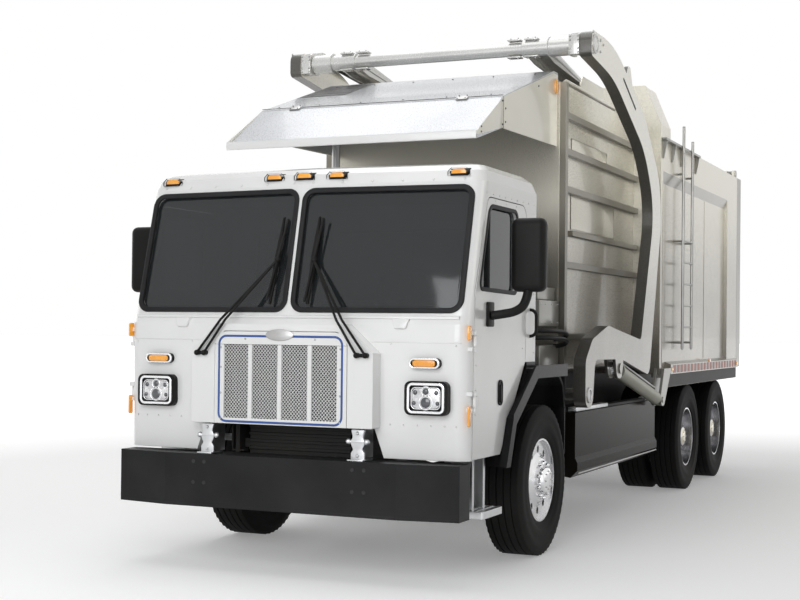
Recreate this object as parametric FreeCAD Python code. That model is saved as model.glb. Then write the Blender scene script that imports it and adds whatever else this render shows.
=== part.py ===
"""Front-loading garbage truck: a cab-over chassis with a hopper, packer body, lift arms and forks.

Frame: +X forward, +Y to the truck's left, +Z up, millimetres. The origin is on the ground,
midway between the bumper's face and the tailgate, on the centre plane.
"""
import FreeCAD, Part
import math
import os

V = FreeCAD.Vector

# Overall
bumper_face_x = 4400
half_width = 1225
body_half_width = 1244

# Wheels and axles
tyre_radius = 525
tyre_width = 285
tyre_shoulder = 38
rim_radius = 290
rim_lip = 15
hand_holes = 10
hand_hole_radius = 24
hand_hole_circle = 215
front_axle_x = 2768
rear_axle_x = -1855
tandem_spacing = 1395
front_wheel_y = 1085
kingpin_y = front_wheel_y - 180
kingpin_radius = 24
running_fit = 0.05
hub_bore = 40
dual_spacing = tyre_width + 50

# Frame
rail_centre_y = 430
rail_flange = 90
rail_inner_y = rail_centre_y - rail_flange / 2
rail_outer_y = rail_centre_y + rail_flange / 2
rail_depth = 270
rail_top = 2 * tyre_radius - 20
rail_wall = 10
rail_front_x = bumper_face_x - 250
bracket_half = 15
crossmember_radius = 60
outer_dual_y = rail_outer_y + 117.5 + tyre_width / 2 + dual_spacing

# Bumper
bumper_half_width = half_width - 11
bumper_flat_half_width = half_width - 399
bumper_low = rail_top - 616
bumper_high = bumper_low + 339
bumper_sweep = 62
bumper_depth = 170
bumper_wall = 12
bumper_hole_radius = 11
bumper_hole_pitch = (80, 135)
bumper_hole_y = 572
bumper_hole_z = bumper_low + 223

# Tow brackets
tow_y = 540
tow_pin_x = bumper_face_x - 65
tow_pin_z = bumper_high + 97
tow_pin_radius = 22

# Cab
cab_low = rail_top - 260
cab_floor = rail_top + 160
cab_wall = 45
cab_rear_x = front_axle_x + 197
cab_nose_x = bumper_face_x - 115
cab_corner = 90
belt_z = cab_floor + 465
roof_z = belt_z + 973
cab_rake = 80
pane_inner_y = 40
pane_outer_y = half_width - 70
pane_low = belt_z + 40
pane_high = roof_z - 180
door_gap = 6
door_rear_x = front_axle_x + 432
door_sill_z = cab_low + 5
arch_front_x = front_axle_x + 902
arch_top_z = 2 * tyre_radius + 307
flare_rear_x = front_axle_x - 358
flare_gap = 2
door_hinge_x = cab_nose_x - 117
door_hinge_y = half_width + 15
door_hinge_heights = (cab_floor - 60, cab_floor + 310)
door_pin_radius = 7
door_barrel_radius = 12
glass_thickness = 6
recess_half_width = 610
recess_top = cab_low + 185

# Grille surround
surround_face_x = cab_nose_x + 87
surround_half_width = 651
surround_low = recess_top
surround_knee = belt_z - 235
surround_high = belt_z - 60
surround_chamfer = 195
grille_margin = 178
mesh_edges = ((12, 190), (212, 398))
mesh_low = surround_low + 40
mesh_high = surround_knee + 37
mesh_pitch = (36, 42)
mesh_web = 7

# Arms, forks and their cylinders
pivot_x = front_axle_x - 854
pivot_z = rail_top + 56
torque_radius = 50
boss_radius = 95
arm_inner_y = body_half_width - 47
arm_thickness = 95
ear_x = pivot_x - 864
ear_z = pivot_z + 184
ear_radius = 80
cheek_gap = 47
eye_side_play = 1.5
neck_share = 0.85
barrel_radius = 58
rod_radius = 32
eye_radius = 52
pin_radius = 28
fork_tube_radius = 52
fork_collar_radius = 76
fork_inset = 387
fork_width = 180
fork_length = 1150
fork_tilt = 6
crank_y = arm_inner_y - 47
crank_reach = 190
crank_angle = 150
fork_barrel_radius = 36
fork_rod_radius = 18
fork_eye_radius = 34
fork_pin_radius = 16

# Body
hopper_front_x = pivot_x - 164
hopper_half_width = 990
body_floor = rail_top + 150
hopper_floor = body_floor + 60
hopper_top = hopper_floor + 2260
shoulder_x = rear_axle_x + 1375
body_rear_x = rear_axle_x - 2295
rail_rear_x = body_rear_x
body_wall = 30
body_step = 35
band_low = body_floor + 1770
band_high = band_low + 100
side_top_z = body_floor + 2177
roof_top_z = side_top_z + 35
hood_length = 360
hood_corner_z = side_top_z + 113
hood_apex_z = side_top_z + 477
hood_apex_y = body_half_width - 151
front_column_x = shoulder_x - 86
rear_column_x = body_rear_x + 567
tailgate_rear_x = body_rear_x - 250
tailgate_gap = 6
tailgate_hinge_z = roof_top_z + 28
tailgate_pin_radius = 11
tailgate_side_play = 2
tailgate_lug_y = body_half_width - 74
blade_front_x = hopper_front_x - 60
blade_clearance = 12
base_x = shoulder_x + 60
base_z = pivot_z - 131
ladder_y = body_half_width + 56

# Canopy
ridge_x = hopper_front_x + 80
ridge_z = hopper_floor + 2332
break_x = ridge_x + 1131
break_z = ridge_z - 373
lip_x = break_x + 507
lip_z = roof_z + 239
canopy_half_width = hopper_half_width - 28
canopy_sheet = 25

# Arm tips and the forks' cylinders
tip_x = pivot_x - 73
tip_z = ridge_z + 183
fork_base_x = tip_x - 1241
fork_base_z = tip_z + 15
barrel_length = math.hypot(ear_x - base_x, ear_z - base_z) - 103
fork_barrel_length = 960

left_and_right = (1, -1)


def box(x, y, z):
    """A block between the low and high value of each axis."""
    return Part.makeBox(x[1] - x[0], y[1] - y[0], z[1] - z[0], V(x[0], y[0], z[0]))


def outline(corners, place):
    """A closed wire through (u, v, radius) corners, each rounded by its own arc."""
    stops = []
    for index, (u, v, radius) in enumerate(corners):
        here = V(u, v, 0)
        before = corners[index - 1]
        after = corners[(index + 1) % len(corners)]
        back = (V(before[0], before[1], 0) - here).normalize()
        ahead = (V(after[0], after[1], 0) - here).normalize()
        if radius == 0:
            stops.append((here, None, here))
            continue
        half_angle = back.getAngle(ahead) / 2
        reach = radius / math.tan(half_angle)
        middle = here + (back + ahead).normalize() * (radius / math.sin(half_angle) - radius)
        stops.append((here + back * reach, middle, here + ahead * reach))
    edges = []
    for index, (start, middle, end) in enumerate(stops):
        following = stops[(index + 1) % len(stops)][0]
        if middle is not None:
            edges.append(Part.Arc(place(start), place(middle), place(end)).toShape())
        if (following - end).Length > 1e-6:
            edges.append(Part.LineSegment(place(end), place(following)).toShape())
    return Part.Wire(edges)


def slab(axis, corners, low, high):
    """A plate with a rounded outline, from low to high along X, Y or Z."""
    places = {
        "x": lambda p: V(low, p.x, p.y),
        "y": lambda p: V(p.x, low, p.y),
        "z": lambda p: V(p.x, p.y, low),
    }
    directions = {"x": V(1, 0, 0), "y": V(0, 1, 0), "z": V(0, 0, 1)}
    face = Part.Face(outline(corners, places[axis]))
    return face.extrude(directions[axis] * (high - low))


def rectangle(u, v, radius):
    """The four corners of a rectangle, for outline and slab."""
    return [(u[0], v[0], radius), (u[1], v[0], radius), (u[1], v[1], radius), (u[0], v[1], radius)]


def rod(start, end, radius):
    """A round bar between two points."""
    return Part.makeCylinder(radius, (end - start).Length, start, end - start)


def turned(profile, x, z):
    """A solid of revolution about the Y axis through x, z; the profile's corners are (r, y, radius)."""
    face = Part.Face(outline(profile, lambda p: V(x, p.y, z + p.x)))
    return face.revolve(V(x, 0, z), V(0, 1, 0), 360)


def fused(*pieces):
    """One solid from pieces that overlap or meet."""
    return pieces[0].multiFuse(list(pieces[1:])).removeSplitter()


def mirrored(shape):
    """The same piece on the other side of the centre plane."""
    return shape.mirror(V(0, 0, 0), V(0, 1, 0))


def on_side(shape, side):
    """The piece as modelled on the left, or its mirror image for the right."""
    return shape if side > 0 else mirrored(shape)


def both(shape):
    """A piece on the left and its mirror image on the right."""
    return Part.makeCompound([shape, mirrored(shape)])


def save(node, shape):
    """Write one node's STEP file."""
    if not shape.isValid():
        raise ValueError(node + " is not a valid shape")
    shape.exportStep(os.path.join("parts", node + ".step"))
    print(node, len(shape.Solids), "solids", round(shape.Volume / 1e6, 2), "litres")


# ---------------------------------------------------------------- cab

# height, how far behind the nose the front is at the centre and at the corners,
# how far the sides and the rear come in
cab_levels = (
    (cab_low, 15, 50, 0, 0),
    (belt_z - 155, 0, 35, 0, 0),
    (belt_z - 55, 0, 37, 0, 0),
    (belt_z, 10, 60, 0, 0),
    (roof_z - 128, 197, 197 + cab_rake, 0, 0),
    (roof_z - 58, 235, 235 + cab_rake, 15, 60),
    (roof_z - 18, 300, 300 + cab_rake, 60, 150),
    (roof_z, 385, 385 + cab_rake, 120, 260),
)


def cab_body(inset, low, lowered):
    """The cab's outer form, taken in by inset, cut off at low and with its roof lowered."""
    wires = []
    for height, nose_in, corner_in, side_in, rear_in in cab_levels:
        nose = cab_nose_x - nose_in
        corner = cab_nose_x - corner_in
        y = half_width - side_in - inset
        rear = cab_rear_x + rear_in + inset
        corners = [
            (rear, -y, 30),
            (corner - inset, -y, cab_corner),
            (nose - inset, 0, 0),
            (corner - inset, y, cab_corner),
            (rear, y, 30),
        ]
        level = height - lowered if height > belt_z else height
        wires.append(outline(corners, lambda p, z=level: V(p.x, p.y, z)))
    form = Part.makeLoft(wires, True, True)
    keep = box((0, 5000), (-2000, 2000), (low, 4000))
    return form.common(keep)


door_outline = [
    (cab_nose_x - 125, door_sill_z, 15),
    (cab_nose_x - 135, belt_z - 85, 0),
    (cab_nose_x - 163, belt_z + 160, 0),
    (cab_nose_x - 360, roof_z - 228, 70),
    (door_rear_x, roof_z - 228, 90),
    (door_rear_x, arch_top_z, 0),
    (arch_front_x, door_sill_z, 15),
]
door_window = [
    (cab_nose_x - 230, belt_z + 175, 25),
    (cab_nose_x - 390, roof_z - 286, 55),
    (door_rear_x + 185, roof_z - 286, 55),
    (door_rear_x + 185, belt_z + 165, 45),
]
rear_window = rectangle((-620, 620), (belt_z + 125, roof_z - 368), 70)


def pane_outline(grow):
    """One windshield opening seen from the front, for the left side."""
    return [
        (pane_inner_y - grow, pane_low - grow, 60),
        (pane_outer_y + grow, pane_low - grow, 75),
        (pane_outer_y + grow, pane_high + grow, 75),
        (pane_inner_y - grow, pane_high + grow, 60),
    ]


def grown(corners, by):
    """An outline moved outward by about a gap, away from its own middle."""
    middle_u = sum(c[0] for c in corners) / len(corners)
    middle_v = sum(c[1] for c in corners) / len(corners)
    moved = []
    for u, v, radius in corners:
        moved.append((u + math.copysign(by, u - middle_u), v + math.copysign(by, v - middle_v), radius))
    return moved


def cab_shell():
    """Floor, roof, pillars and skins of the cab, open at the doors, windshields and wheel arches."""
    outer = cab_body(0, cab_low, 0)
    room = cab_body(cab_wall, cab_floor, cab_wall)
    below = cab_body(cab_wall, 0, 0).common(box((0, 5000), (-2000, 2000), (0, cab_floor - 50)))
    doorway = slab("y", grown(door_outline, door_gap), half_width - 150, half_width + 10)
    arch = slab(
        "y",
        [(cab_rear_x - 900, 0, 0), (arch_front_x, 0, 0), (arch_front_x, door_sill_z, 0),
         (door_rear_x, arch_top_z, 0), (cab_rear_x - 900, arch_top_z, 0)],
        0,
        half_width + 10,
    )
    under_floor = arch.common(box((0, 5000), (0, 2000), (0, cab_floor - 50)))
    pane = slab("x", pane_outline(0), cab_nose_x - 485, cab_nose_x + 115)
    recess = slab(
        "x",
        [(-recess_half_width - 90, cab_low - 70, 0), (recess_half_width + 90, cab_low - 70, 0),
         (recess_half_width, recess_top, 0), (-recess_half_width, recess_top, 0)],
        cab_nose_x - 185,
        cab_nose_x + 115,
    )
    rear_opening = slab("x", rear_window, cab_rear_x - 10, cab_rear_x + 90)
    shell = outer.cut(room).cut(below)
    for cutter in (doorway, mirrored(doorway), under_floor, mirrored(under_floor)):
        shell = shell.cut(cutter)
    beside_wheel = box((0, bumper_face_x), (half_width - 340, half_width + 10), (cab_floor - 60, arch_top_z))
    wheel_space = arch.common(beside_wheel)
    for cutter in (pane, mirrored(pane), recess, rear_opening, wheel_space, mirrored(wheel_space)):
        shell = shell.cut(cutter)
    knuckles = door_knuckles()
    return fused(shell, *knuckles, *[mirrored(knuckle) for knuckle in knuckles])


def door_knuckles():
    """The left door's hinge pins, each between two knuckles on the front pillar."""
    pieces = []
    for z in door_hinge_heights:
        axis = V(door_hinge_x, door_hinge_y, 0)
        pieces.append(rod(axis + V(0, 0, z - 62), axis + V(0, 0, z + 62), door_pin_radius))
        for low in (z - 62, z + 36):
            pieces.append(rod(axis + V(0, 0, low), axis + V(0, 0, low + 26), door_barrel_radius))
            pieces.append(
                box((door_hinge_x, door_hinge_x + 45), (half_width - 30, door_hinge_y), (low, low + 26))
            )
    return pieces


def cab_glass():
    """The two windshield panes and the rear window, let into the cab's wall."""
    layer = cab_body(14, cab_floor, 14).cut(cab_body(14 + glass_thickness, cab_floor, 14 + glass_thickness))
    pane = layer.common(slab("x", pane_outline(0), cab_nose_x - 485, cab_nose_x + 115))
    rear = slab("x", rear_window, cab_rear_x + 15, cab_rear_x + 15 + glass_thickness)
    return Part.makeCompound([pane, mirrored(pane), rear])


def door():
    """The left door: a frame round the window over a flat panel."""
    panel = slab("y", door_outline, half_width - cab_wall, half_width).cut(slab("y", door_window, 0, 2000))
    pieces = [panel]
    bores = []
    for z in door_hinge_heights:
        low = V(door_hinge_x, door_hinge_y, z - 32)
        high = V(door_hinge_x, door_hinge_y, z + 32)
        pieces.append(rod(low, high, door_barrel_radius))
        x = door_hinge_x
        y = half_width
        pieces.append(box((x - 78, x - 25), (y, y + 11), (z - 32, z + 32)))
        pieces.append(box((x - 26, x), (y + 4, y + 11), (z - 32, z + 32)))
        bores.append(rod(low - V(0, 0, 1), high + V(0, 0, 1), door_pin_radius + running_fit))
    hung = fused(*pieces)
    for bore in bores:
        hung = hung.cut(bore)
    return hung


def door_glass():
    return slab("y", door_window, half_width - 28, half_width - 28 + glass_thickness)


def mirror():
    """The mirror head on its bent arm, with its base on the door."""
    y = half_width
    x = door_rear_x + 490
    head = slab("x", rectangle((y + 100, y + 325), (belt_z + 157, belt_z + 623), 45), x, x + 110)
    base = slab("y", rectangle((x + 150, x + 260), (belt_z - 65, belt_z + 90), 20), y, y + 30)
    shaft = rod(V(x + 205, y + 20, belt_z + 5), V(x + 90, y + 175, belt_z + 45), 24)
    elbow = Part.makeSphere(24, V(x + 90, y + 175, belt_z + 45))
    riser = rod(V(x + 90, y + 175, belt_z + 45), V(x + 55, y + 212, belt_z + 195), 24)
    return fused(head, base, shaft, elbow, riser)


def grille_corners(inset):
    """The outline that the grille shares with its surround, taken in by inset."""
    i = surround_half_width - grille_margin - inset
    low = surround_low
    knee = surround_knee + 48
    top = surround_high - 50
    return [
        (-i, low, 0), (i, low, 0), (i, knee, 0), (i - 70, top - inset, 0), (70 - i, top - inset, 0),
        (-i, knee, 0),
    ]


def grille_surround():
    """The raised frame round the grille, chamfered at its upper corners."""
    w = surround_half_width
    rim = [
        (-w, surround_low, 12), (w, surround_low, 12), (w, surround_knee, 12),
        (w - surround_chamfer, surround_high, 20), (surround_chamfer - w, surround_high, 20),
        (-w, surround_knee, 12),
    ]
    low = cab_nose_x - 85
    frame = slab("x", rim, low, surround_face_x).cut(cab_body(0, cab_low, 0))
    return frame.cut(slab("x", grille_corners(-3), low, surround_face_x + 1))


def mesh_panel(edges):
    """A perforated panel: one sheet with staggered diamond holes inside a plain margin."""
    x = surround_face_x - 9
    middle_y = (edges[0] + edges[1]) / 2
    middle_z = (mesh_low + mesh_high) / 2
    columns = int((edges[1] - edges[0] - 30) / mesh_pitch[0])
    rows = int((mesh_high - mesh_low - 30) / mesh_pitch[1] * 2)
    sheet = Part.Face(outline(rectangle(edges, (mesh_low, mesh_high), 10), lambda p: V(x, p.x, p.y)))
    holes = []
    for row in range(rows):
        z = middle_z + (row - (rows - 1) / 2) * mesh_pitch[1] / 2
        for column in range(columns - row % 2):
            y = middle_y + (column - (columns - 1 - row % 2) / 2) * mesh_pitch[0]
            half_y = (mesh_pitch[0] - mesh_web) / 2
            half_z = (mesh_pitch[1] - mesh_web) / 2
            corners = [V(x, y - half_y, z), V(x, y, z - half_z), V(x, y + half_y, z), V(x, y, z + half_z)]
            holes.append(Part.Face(Part.makePolygon(corners + corners[:1])))
    return sheet.cut(holes).extrude(V(5, 0, 0))


def grille():
    """The grille plate with its frame bars and the perforated panels let into it."""
    plate = slab("x", grille_corners(0), cab_nose_x - 85, surround_face_x + 2)
    plate = plate.cut(cab_body(0, cab_low, 0))
    panels = []
    for edges in mesh_edges:
        corners = rectangle(edges, (mesh_low, mesh_high), 10)
        pocket = slab("x", corners, surround_face_x - 45, surround_face_x + 3)
        plate = plate.cut(pocket).cut(mirrored(pocket))
        panel = mesh_panel(edges)
        panels += [panel, mirrored(panel)]
    return fused(plate, *panels)


def headlamps():
    """The headlamps: a housing that narrows to a bezel round a sunken lens with two round units."""
    y = half_width - 253
    z = cab_floor - 40
    back = cab_nose_x - 105
    face = cab_nose_x + 15
    housing = slab("x", rectangle((y - 142, y + 142), (z - 104, z + 104), 40), back, face)
    sunk = slab("x", rectangle((y - 112, y + 112), (z - 78, z + 78), 28), face - 22, face + 1)
    unit = housing.cut(sunk)
    for dz, radius in ((-26, 40), (42, 26)):
        unit = unit.fuse(rod(V(face - 30, y, z + dz), V(face - 10, y, z + dz), radius))
    return both(unit.cut(cab_body(0, cab_low, 0)).removeSplitter())


def turn_signals():
    """The stadium-shaped turn signals: a lens inside a raised rim."""
    y = half_width - 268
    z = cab_floor + 172
    face = cab_nose_x + 5
    rim = slab("x", rectangle((y - 100, y + 100), (z - 32, z + 32), 31), cab_nose_x - 105, face)
    lens = slab("x", rectangle((y - 88, y + 88), (z - 21, z + 21), 20), face - 40, face + 8)
    return both(fused(rim, lens).cut(cab_body(0, cab_low, 0)))


def roof_lamps():
    """Five low marker lamps above the windshields, each stepped back with the front's rake."""
    pieces = []
    for y in (170 - half_width, -230, 0, 230, half_width - 170):
        x = cab_nose_x - cab_rake * abs(y) / half_width
        profile = [
            (x - 355, roof_z - 90, 0), (x - 214, roof_z - 90, 0), (x - 214, roof_z - 76, 6),
            (x - 247, roof_z - 46, 8), (x - 355, roof_z - 40, 0),
        ]
        lamp = slab("y", profile, y - 66, y + 66)
        sides = slab(
            "z",
            [(x - 360, y - 66, 0), (x - 225, y - 66, 0), (x - 195, y - 42, 0), (x - 195, y + 42, 0),
             (x - 225, y + 66, 0), (x - 360, y + 66, 0)],
            roof_z - 100,
            roof_z,
        )
        pieces.append(lamp.common(sides).cut(cab_body(0, cab_low, 0)))
    return Part.makeCompound(pieces)


def cab_interior():
    """Dashboard with its column and steering wheel, an engine cover and two seats."""
    x = cab_nose_x - 165
    z = cab_floor
    side = half_width - 95
    dash_section = [(x - 170, z + 210, 0), (x, z + 210, 0), (x, z + 470, 30), (x - 220, z + 500, 50)]
    dash = slab("y", dash_section, -side, side)
    seat_y = half_width - 605
    wheel_x = x - 370
    column = rod(V(x - 100, seat_y, z + 410), V(wheel_x + 10, seat_y, z + 580), 35)
    ring = Part.makeTorus(215, 16, V(wheel_x, seat_y, z + 585), V(-0.83, 0, 0.55))
    spoke = rod(V(wheel_x, seat_y - 210, z + 585), V(wheel_x, seat_y + 210, z + 585), 14)
    foot = box((x - 120, x - 20), (-200, 200), (z, z + 220))
    pieces = [fused(dash, column, ring, spoke, foot)]
    rear = cab_rear_x + 65
    for y in (seat_y, -seat_y):
        base = box((rear + 200, rear + 610), (y - 200, y + 200), (z, z + 240))
        cushion = slab("y", rectangle((rear + 170, rear + 670), (z + 240, z + 370), 40), y - 250, y + 250)
        back = slab(
            "y",
            [(rear + 30, z + 310, 0), (rear + 200, z + 310, 40), (rear + 130, z + 1070, 60),
             (rear, z + 1070, 40)],
            y - 240,
            y + 240,
        )
        pieces.append(fused(base, cushion, back))
    return Part.makeCompound(pieces)


def wipers():
    """Two wipers on the surround's shoulders, each with a pair of thin arms and a tapered blade."""
    pieces = []
    # y of the two pivots, y and z of the blade's low and high end
    for pivots, low, high in (
        ((-595, -542), (-145, belt_z + 90), (-60, belt_z + 617)),
        ((549, 610), (128, belt_z + 80), (195, belt_z + 618)),
    ):
        z = surround_knee - 15
        blade_low = V(cab_nose_x + 8, low[0], low[1])
        blade_high = V(cab_nose_x - 117, high[0], high[1])
        grip = (blade_low + blade_high) * 0.5
        parts = [rod(blade_low, grip, 8), rod(grip, blade_high, 8), Part.makeSphere(20, grip)]
        for pivot_y in pivots:
            hub = V(surround_face_x + 28, pivot_y, z)
            share = (surround_high + 25 - hub.z) / (grip.z - hub.z)
            elbow = V(surround_face_x + 26, hub.y + share * (grip.y - hub.y), surround_high + 25)
            parts.append(rod(V(surround_face_x, pivot_y, z), hub, 16))
            parts.append(Part.makeSphere(18, hub))
            parts.append(rod(hub, elbow, 8))
            parts.append(Part.makeSphere(8, elbow))
            parts.append(rod(elbow, grip, 8))
        link = rod(V(surround_face_x + 20, pivots[0], z), V(surround_face_x + 20, pivots[1], z), 12)
        pieces.append(fused(*parts, link))
    return Part.makeCompound(pieces)


def fender_flares():
    """The faceted flare round each front wheel, with its liner inside the arch."""
    x = front_axle_x
    top = arch_top_z - 47
    low = cab_low - 80
    inner = half_width - 340
    lip = [
        (x + 922, low, 0), (x + 792, low + 310, 0), (x + 342, top, 0), (flare_rear_x, top, 0),
        (flare_rear_x, top - 65, 0), (x + 302, top - 65, 0), (x + 732, low + 270, 0), (x + 842, low, 0),
    ]
    crown = [
        (x + 872, low, 0), (x + 872, low + 70, 0), (x + 412, top + 5, 0), (x - 368, top + 5, 0),
        (x - 543, top - 130, 0), (x - 583, top - 300, 0),
    ]
    hollow = [
        (x - 558, top - 300, 0), (x - 518, top - 145, 0), (x - 358, top - 20, 0), (x + 400, top - 20, 0),
        (x + 847, low + 60, 0), (x + 847, low, 0),
    ]
    outside = slab("y", lip, half_width + flare_gap, half_width + 52)
    brim = [(u, v + 22, 0) for u, v, _ in lip[1:4]] + lip[3:0:-1]
    edge = slab("y", brim, half_width + 38, half_width + 52)
    inside = slab("y", crown + hollow, inner + 10, half_width + flare_gap)
    cheek = slab("y", crown, inner, inner + 10)
    over_floor = box((cab_rear_x, arch_front_x + 100), (0, half_width), (cab_floor - 50, arch_top_z))
    cheek = cheek.common(over_floor)
    seat = box((cab_rear_x + 20, door_rear_x - 30), (half_width - cab_wall, half_width), (top, arch_top_z))
    swept = box((x - 800, flare_rear_x), (arm_inner_y - 9, half_width + 60), (low, arch_top_z))
    return both(fused(outside, edge, inside.cut(swept), cheek, seat))


def cab_steps():
    """A ribbed step below each door on two hangers, with a small step ahead of the wheel."""
    y = half_width
    x = cab_nose_x
    low = tyre_radius - 130
    tread = slab("z", rectangle((x - 645, x - 295), (y - 275, y + 10), 15), low, low + 45)
    for offset in (250, 200, 150, 100, 50):
        tread = tread.cut(box((x - 625, x - 315), (y - offset, y - offset + 22), (low + 35, low + 50)))
    link_z = rail_top - rail_depth + 40
    pieces = [tread]
    for hanger_x in (x - 545, x - 355):
        pieces.append(box((hanger_x, hanger_x + 30), (y - 265, y - 75), (low + 40, link_z + 40)))
    pieces.append(box((x - 545, x - 325), (y - 265, y - 250), (low + 305, link_z + 40)))
    pieces.append(box((x - 485, x - 425), (rail_outer_y, y - 250), (link_z, link_z + 40)))
    return both(fused(*pieces))


# ---------------------------------------------------------------- chassis

def frame_rails():
    """Two C-section rails joined by round crossmembers."""
    pieces = []
    for side in left_and_right:
        low = rail_top - rail_depth
        rail = box((rail_rear_x, rail_front_x), (rail_inner_y, rail_outer_y), (low, rail_top))
        pocket = box(
            (rail_rear_x - 1, rail_front_x + 1),
            (rail_inner_y - 1, rail_outer_y - rail_wall),
            (rail_top - rail_depth + rail_wall, rail_top - rail_wall),
        )
        pieces.append(on_side(rail.cut(pocket), side))
        drop = slab(
            "y",
            [(rail_front_x - 200, rail_top - 20, 0), (rail_front_x - 200, bumper_low + 86, 0),
             (bumper_face_x - bumper_wall, bumper_low + 66, 0),
             (bumper_face_x - bumper_wall, bumper_high - 18, 0),
             (rail_front_x, bumper_high - 18, 0), (rail_front_x, rail_top - 20, 0)],
            side * rail_centre_y - bracket_half,
            side * rail_centre_y + bracket_half,
        )
        pieces.append(drop)
    reach = rail_outer_y - 1
    tandem_middle = rear_axle_x - tandem_spacing / 2
    for x in (hopper_front_x - 180, shoulder_x + 780, rear_axle_x + 855, tandem_middle, body_rear_x + 150):
        z = rail_top - rail_depth / 2
        pieces.append(rod(V(x, -reach, z), V(x, reach, z), crossmember_radius))
    return fused(*pieces)


def engine_block():
    """The engine and gearbox as plain blocks between the rails, with the radiator ahead."""
    web = rail_outer_y - rail_wall
    flange = rail_top - rail_depth + rail_wall
    x = front_axle_x
    z = rail_top
    engine = box((x - 318, x + 932), (55 - rail_inner_y, rail_inner_y - 55), (z - 410, z + 90))
    mounts = box((x + 132, x + 232), (-web, web), (flange, flange + 90))
    gearbox = box((hopper_front_x - 50, x - 308), (-230, 230), (z - 380, z - 30))
    reach = rail_centre_y - bracket_half
    low = bumper_low + 146
    front = rail_front_x - 60
    radiator = box((front - 130, front), (15 - rail_inner_y, rail_inner_y - 15), (low, low + 540))
    fins = [radiator]
    for index in range(11):
        fin_z = low + 30 + index * 46
        fins.append(box((front, front + 12), (15 - rail_inner_y, rail_inner_y - 15), (fin_z, fin_z + 18)))
    stays = box((front - 110, front - 10), (-reach, reach), (flange + 10, flange + 70))
    return Part.makeCompound([fused(engine, gearbox, mounts), fused(*fins, stays)])


def bumper():
    """A deep channel with its two ends swept back, drilled for the frame and for fittings."""
    face = [
        (bumper_face_x - bumper_sweep, bumper_half_width, 0), (bumper_face_x, bumper_flat_half_width, 0),
        (bumper_face_x, -bumper_flat_half_width, 0), (bumper_face_x - bumper_sweep, -bumper_half_width, 0),
    ]
    back = bumper_face_x - bumper_sweep - bumper_depth
    ends = [(back, -bumper_half_width, 0), (back, bumper_half_width, 0)]
    solid = slab("z", face + ends, bumper_low, bumper_high)
    inner_face = [(x - bumper_wall, math.copysign(abs(y) - bumper_wall, y), 0) for x, y, _ in face]
    hollow_reach = bumper_half_width - bumper_wall
    hollow_back = [(back - 1, -hollow_reach, 0), (back - 1, hollow_reach, 0)]
    hollow = slab("z", inner_face + hollow_back, bumper_low + bumper_wall, bumper_high - bumper_wall)
    shell = solid.cut(hollow)
    for side in left_and_right:
        for dy in (-0.5, 0.5):
            for dz in (-0.5, 0.5):
                y = side * (bumper_hole_y + dy * bumper_hole_pitch[0])
                z = bumper_hole_z + dz * bumper_hole_pitch[1]
                start = V(bumper_face_x - 50, y, z)
                shell = shell.cut(rod(start, start + V(100, 0, 0), bumper_hole_radius))
    return shell


def tow_brackets():
    """A hooked bracket on each side of the recess, standing on the bumper, with a cross pin."""
    x = bumper_face_x
    z = bumper_high
    hook = [
        (x - 250, z + 12, 0), (x - 15, z + 12, 20), (x - 15, z + 60, 20), (x - 30, z + 105, 30),
        (x - 18, z + 150, 25), (x - 45, z + 197, 20), (x - 95, z + 197, 20), (x - 90, z + 130, 30),
        (x - 150, z + 100, 40), (x - 250, z + 100, 0),
    ]
    plate = slab("y", hook, -15, 15)
    foot = box((x - 230, x - 20), (-60, 60), (z, z + 19))
    pin = rod(V(tow_pin_x, -55, tow_pin_z), V(tow_pin_x, 55, tow_pin_z), tow_pin_radius)
    bracket = fused(plate, foot, pin)
    bracket.translate(V(0, tow_y, 0))
    return both(bracket)


def front_axle():
    """The dropped I-beam, its eyes at the kingpins and the leaf springs on it."""
    x = front_axle_x
    z = tyre_radius
    span = kingpin_y - 45
    web = slab(
        "x",
        [(-span, z - 45, 0), (-620, z - 105, 40), (620, z - 105, 40), (span, z - 45, 0),
         (span, z + 65, 0), (590, z - 5, 40), (-590, z - 5, 40), (-span, z + 65, 0)],
        x - 25,
        x + 25,
    )
    pieces = [web]
    bores = []
    spring_top = rail_top - rail_depth
    for side in left_and_right:
        y = side * kingpin_y
        pieces.append(rod(V(x, y, z - 55), V(x, y, z + 75), 55))
        bores.append(rod(V(x, y, z - 65), V(x, y, z + 85), kingpin_radius + running_fit))
        spring = slab(
            "y",
            [(x - 718, spring_top - 60, 0), (x - 368, z + 75, 150), (x - 118, z + 20, 0),
             (x - 118, z - 15, 0), (x + 122, z - 15, 0), (x + 122, z + 20, 0),
             (x + 372, z + 75, 150), (x + 732, spring_top - 60, 0), (x + 732, spring_top, 0),
             (x + 372, z + 135, 150), (x + 122, z + 85, 0), (x - 118, z + 85, 0),
             (x - 368, z + 135, 150), (x - 718, spring_top, 0)],
            side * rail_centre_y - 40,
            side * rail_centre_y + 40,
        )
        pieces.append(spring)
    beam = fused(*pieces)
    for bore in bores:
        beam = beam.cut(bore)
    return beam


def knuckle():
    """The left steering knuckle: a fork round the beam's eye, the kingpin and the wheel spindle."""
    x = front_axle_x
    y = kingpin_y
    z = tyre_radius
    upper = rod(V(x, y, z + 81), V(x, y, z + 125), 50)
    lower = rod(V(x, y, z - 105), V(x, y, z - 61), 50)
    back = box((x - 45, x + 45), (y + 62, y + 92), (z - 100, z + 120))
    cheek_top = box((x - 45, x + 45), (y, y + 80), (z + 81, z + 120))
    cheek_low = box((x - 45, x + 45), (y, y + 80), (z - 100, z - 61))
    pin = rod(V(x, y, z - 95), V(x, y, z + 115), kingpin_radius)
    spindle = rod(V(x, y + 80, z), V(x, front_wheel_y + 95, z), hub_bore - running_fit)
    return fused(upper, lower, back, cheek_top, cheek_low, pin, spindle)


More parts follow.
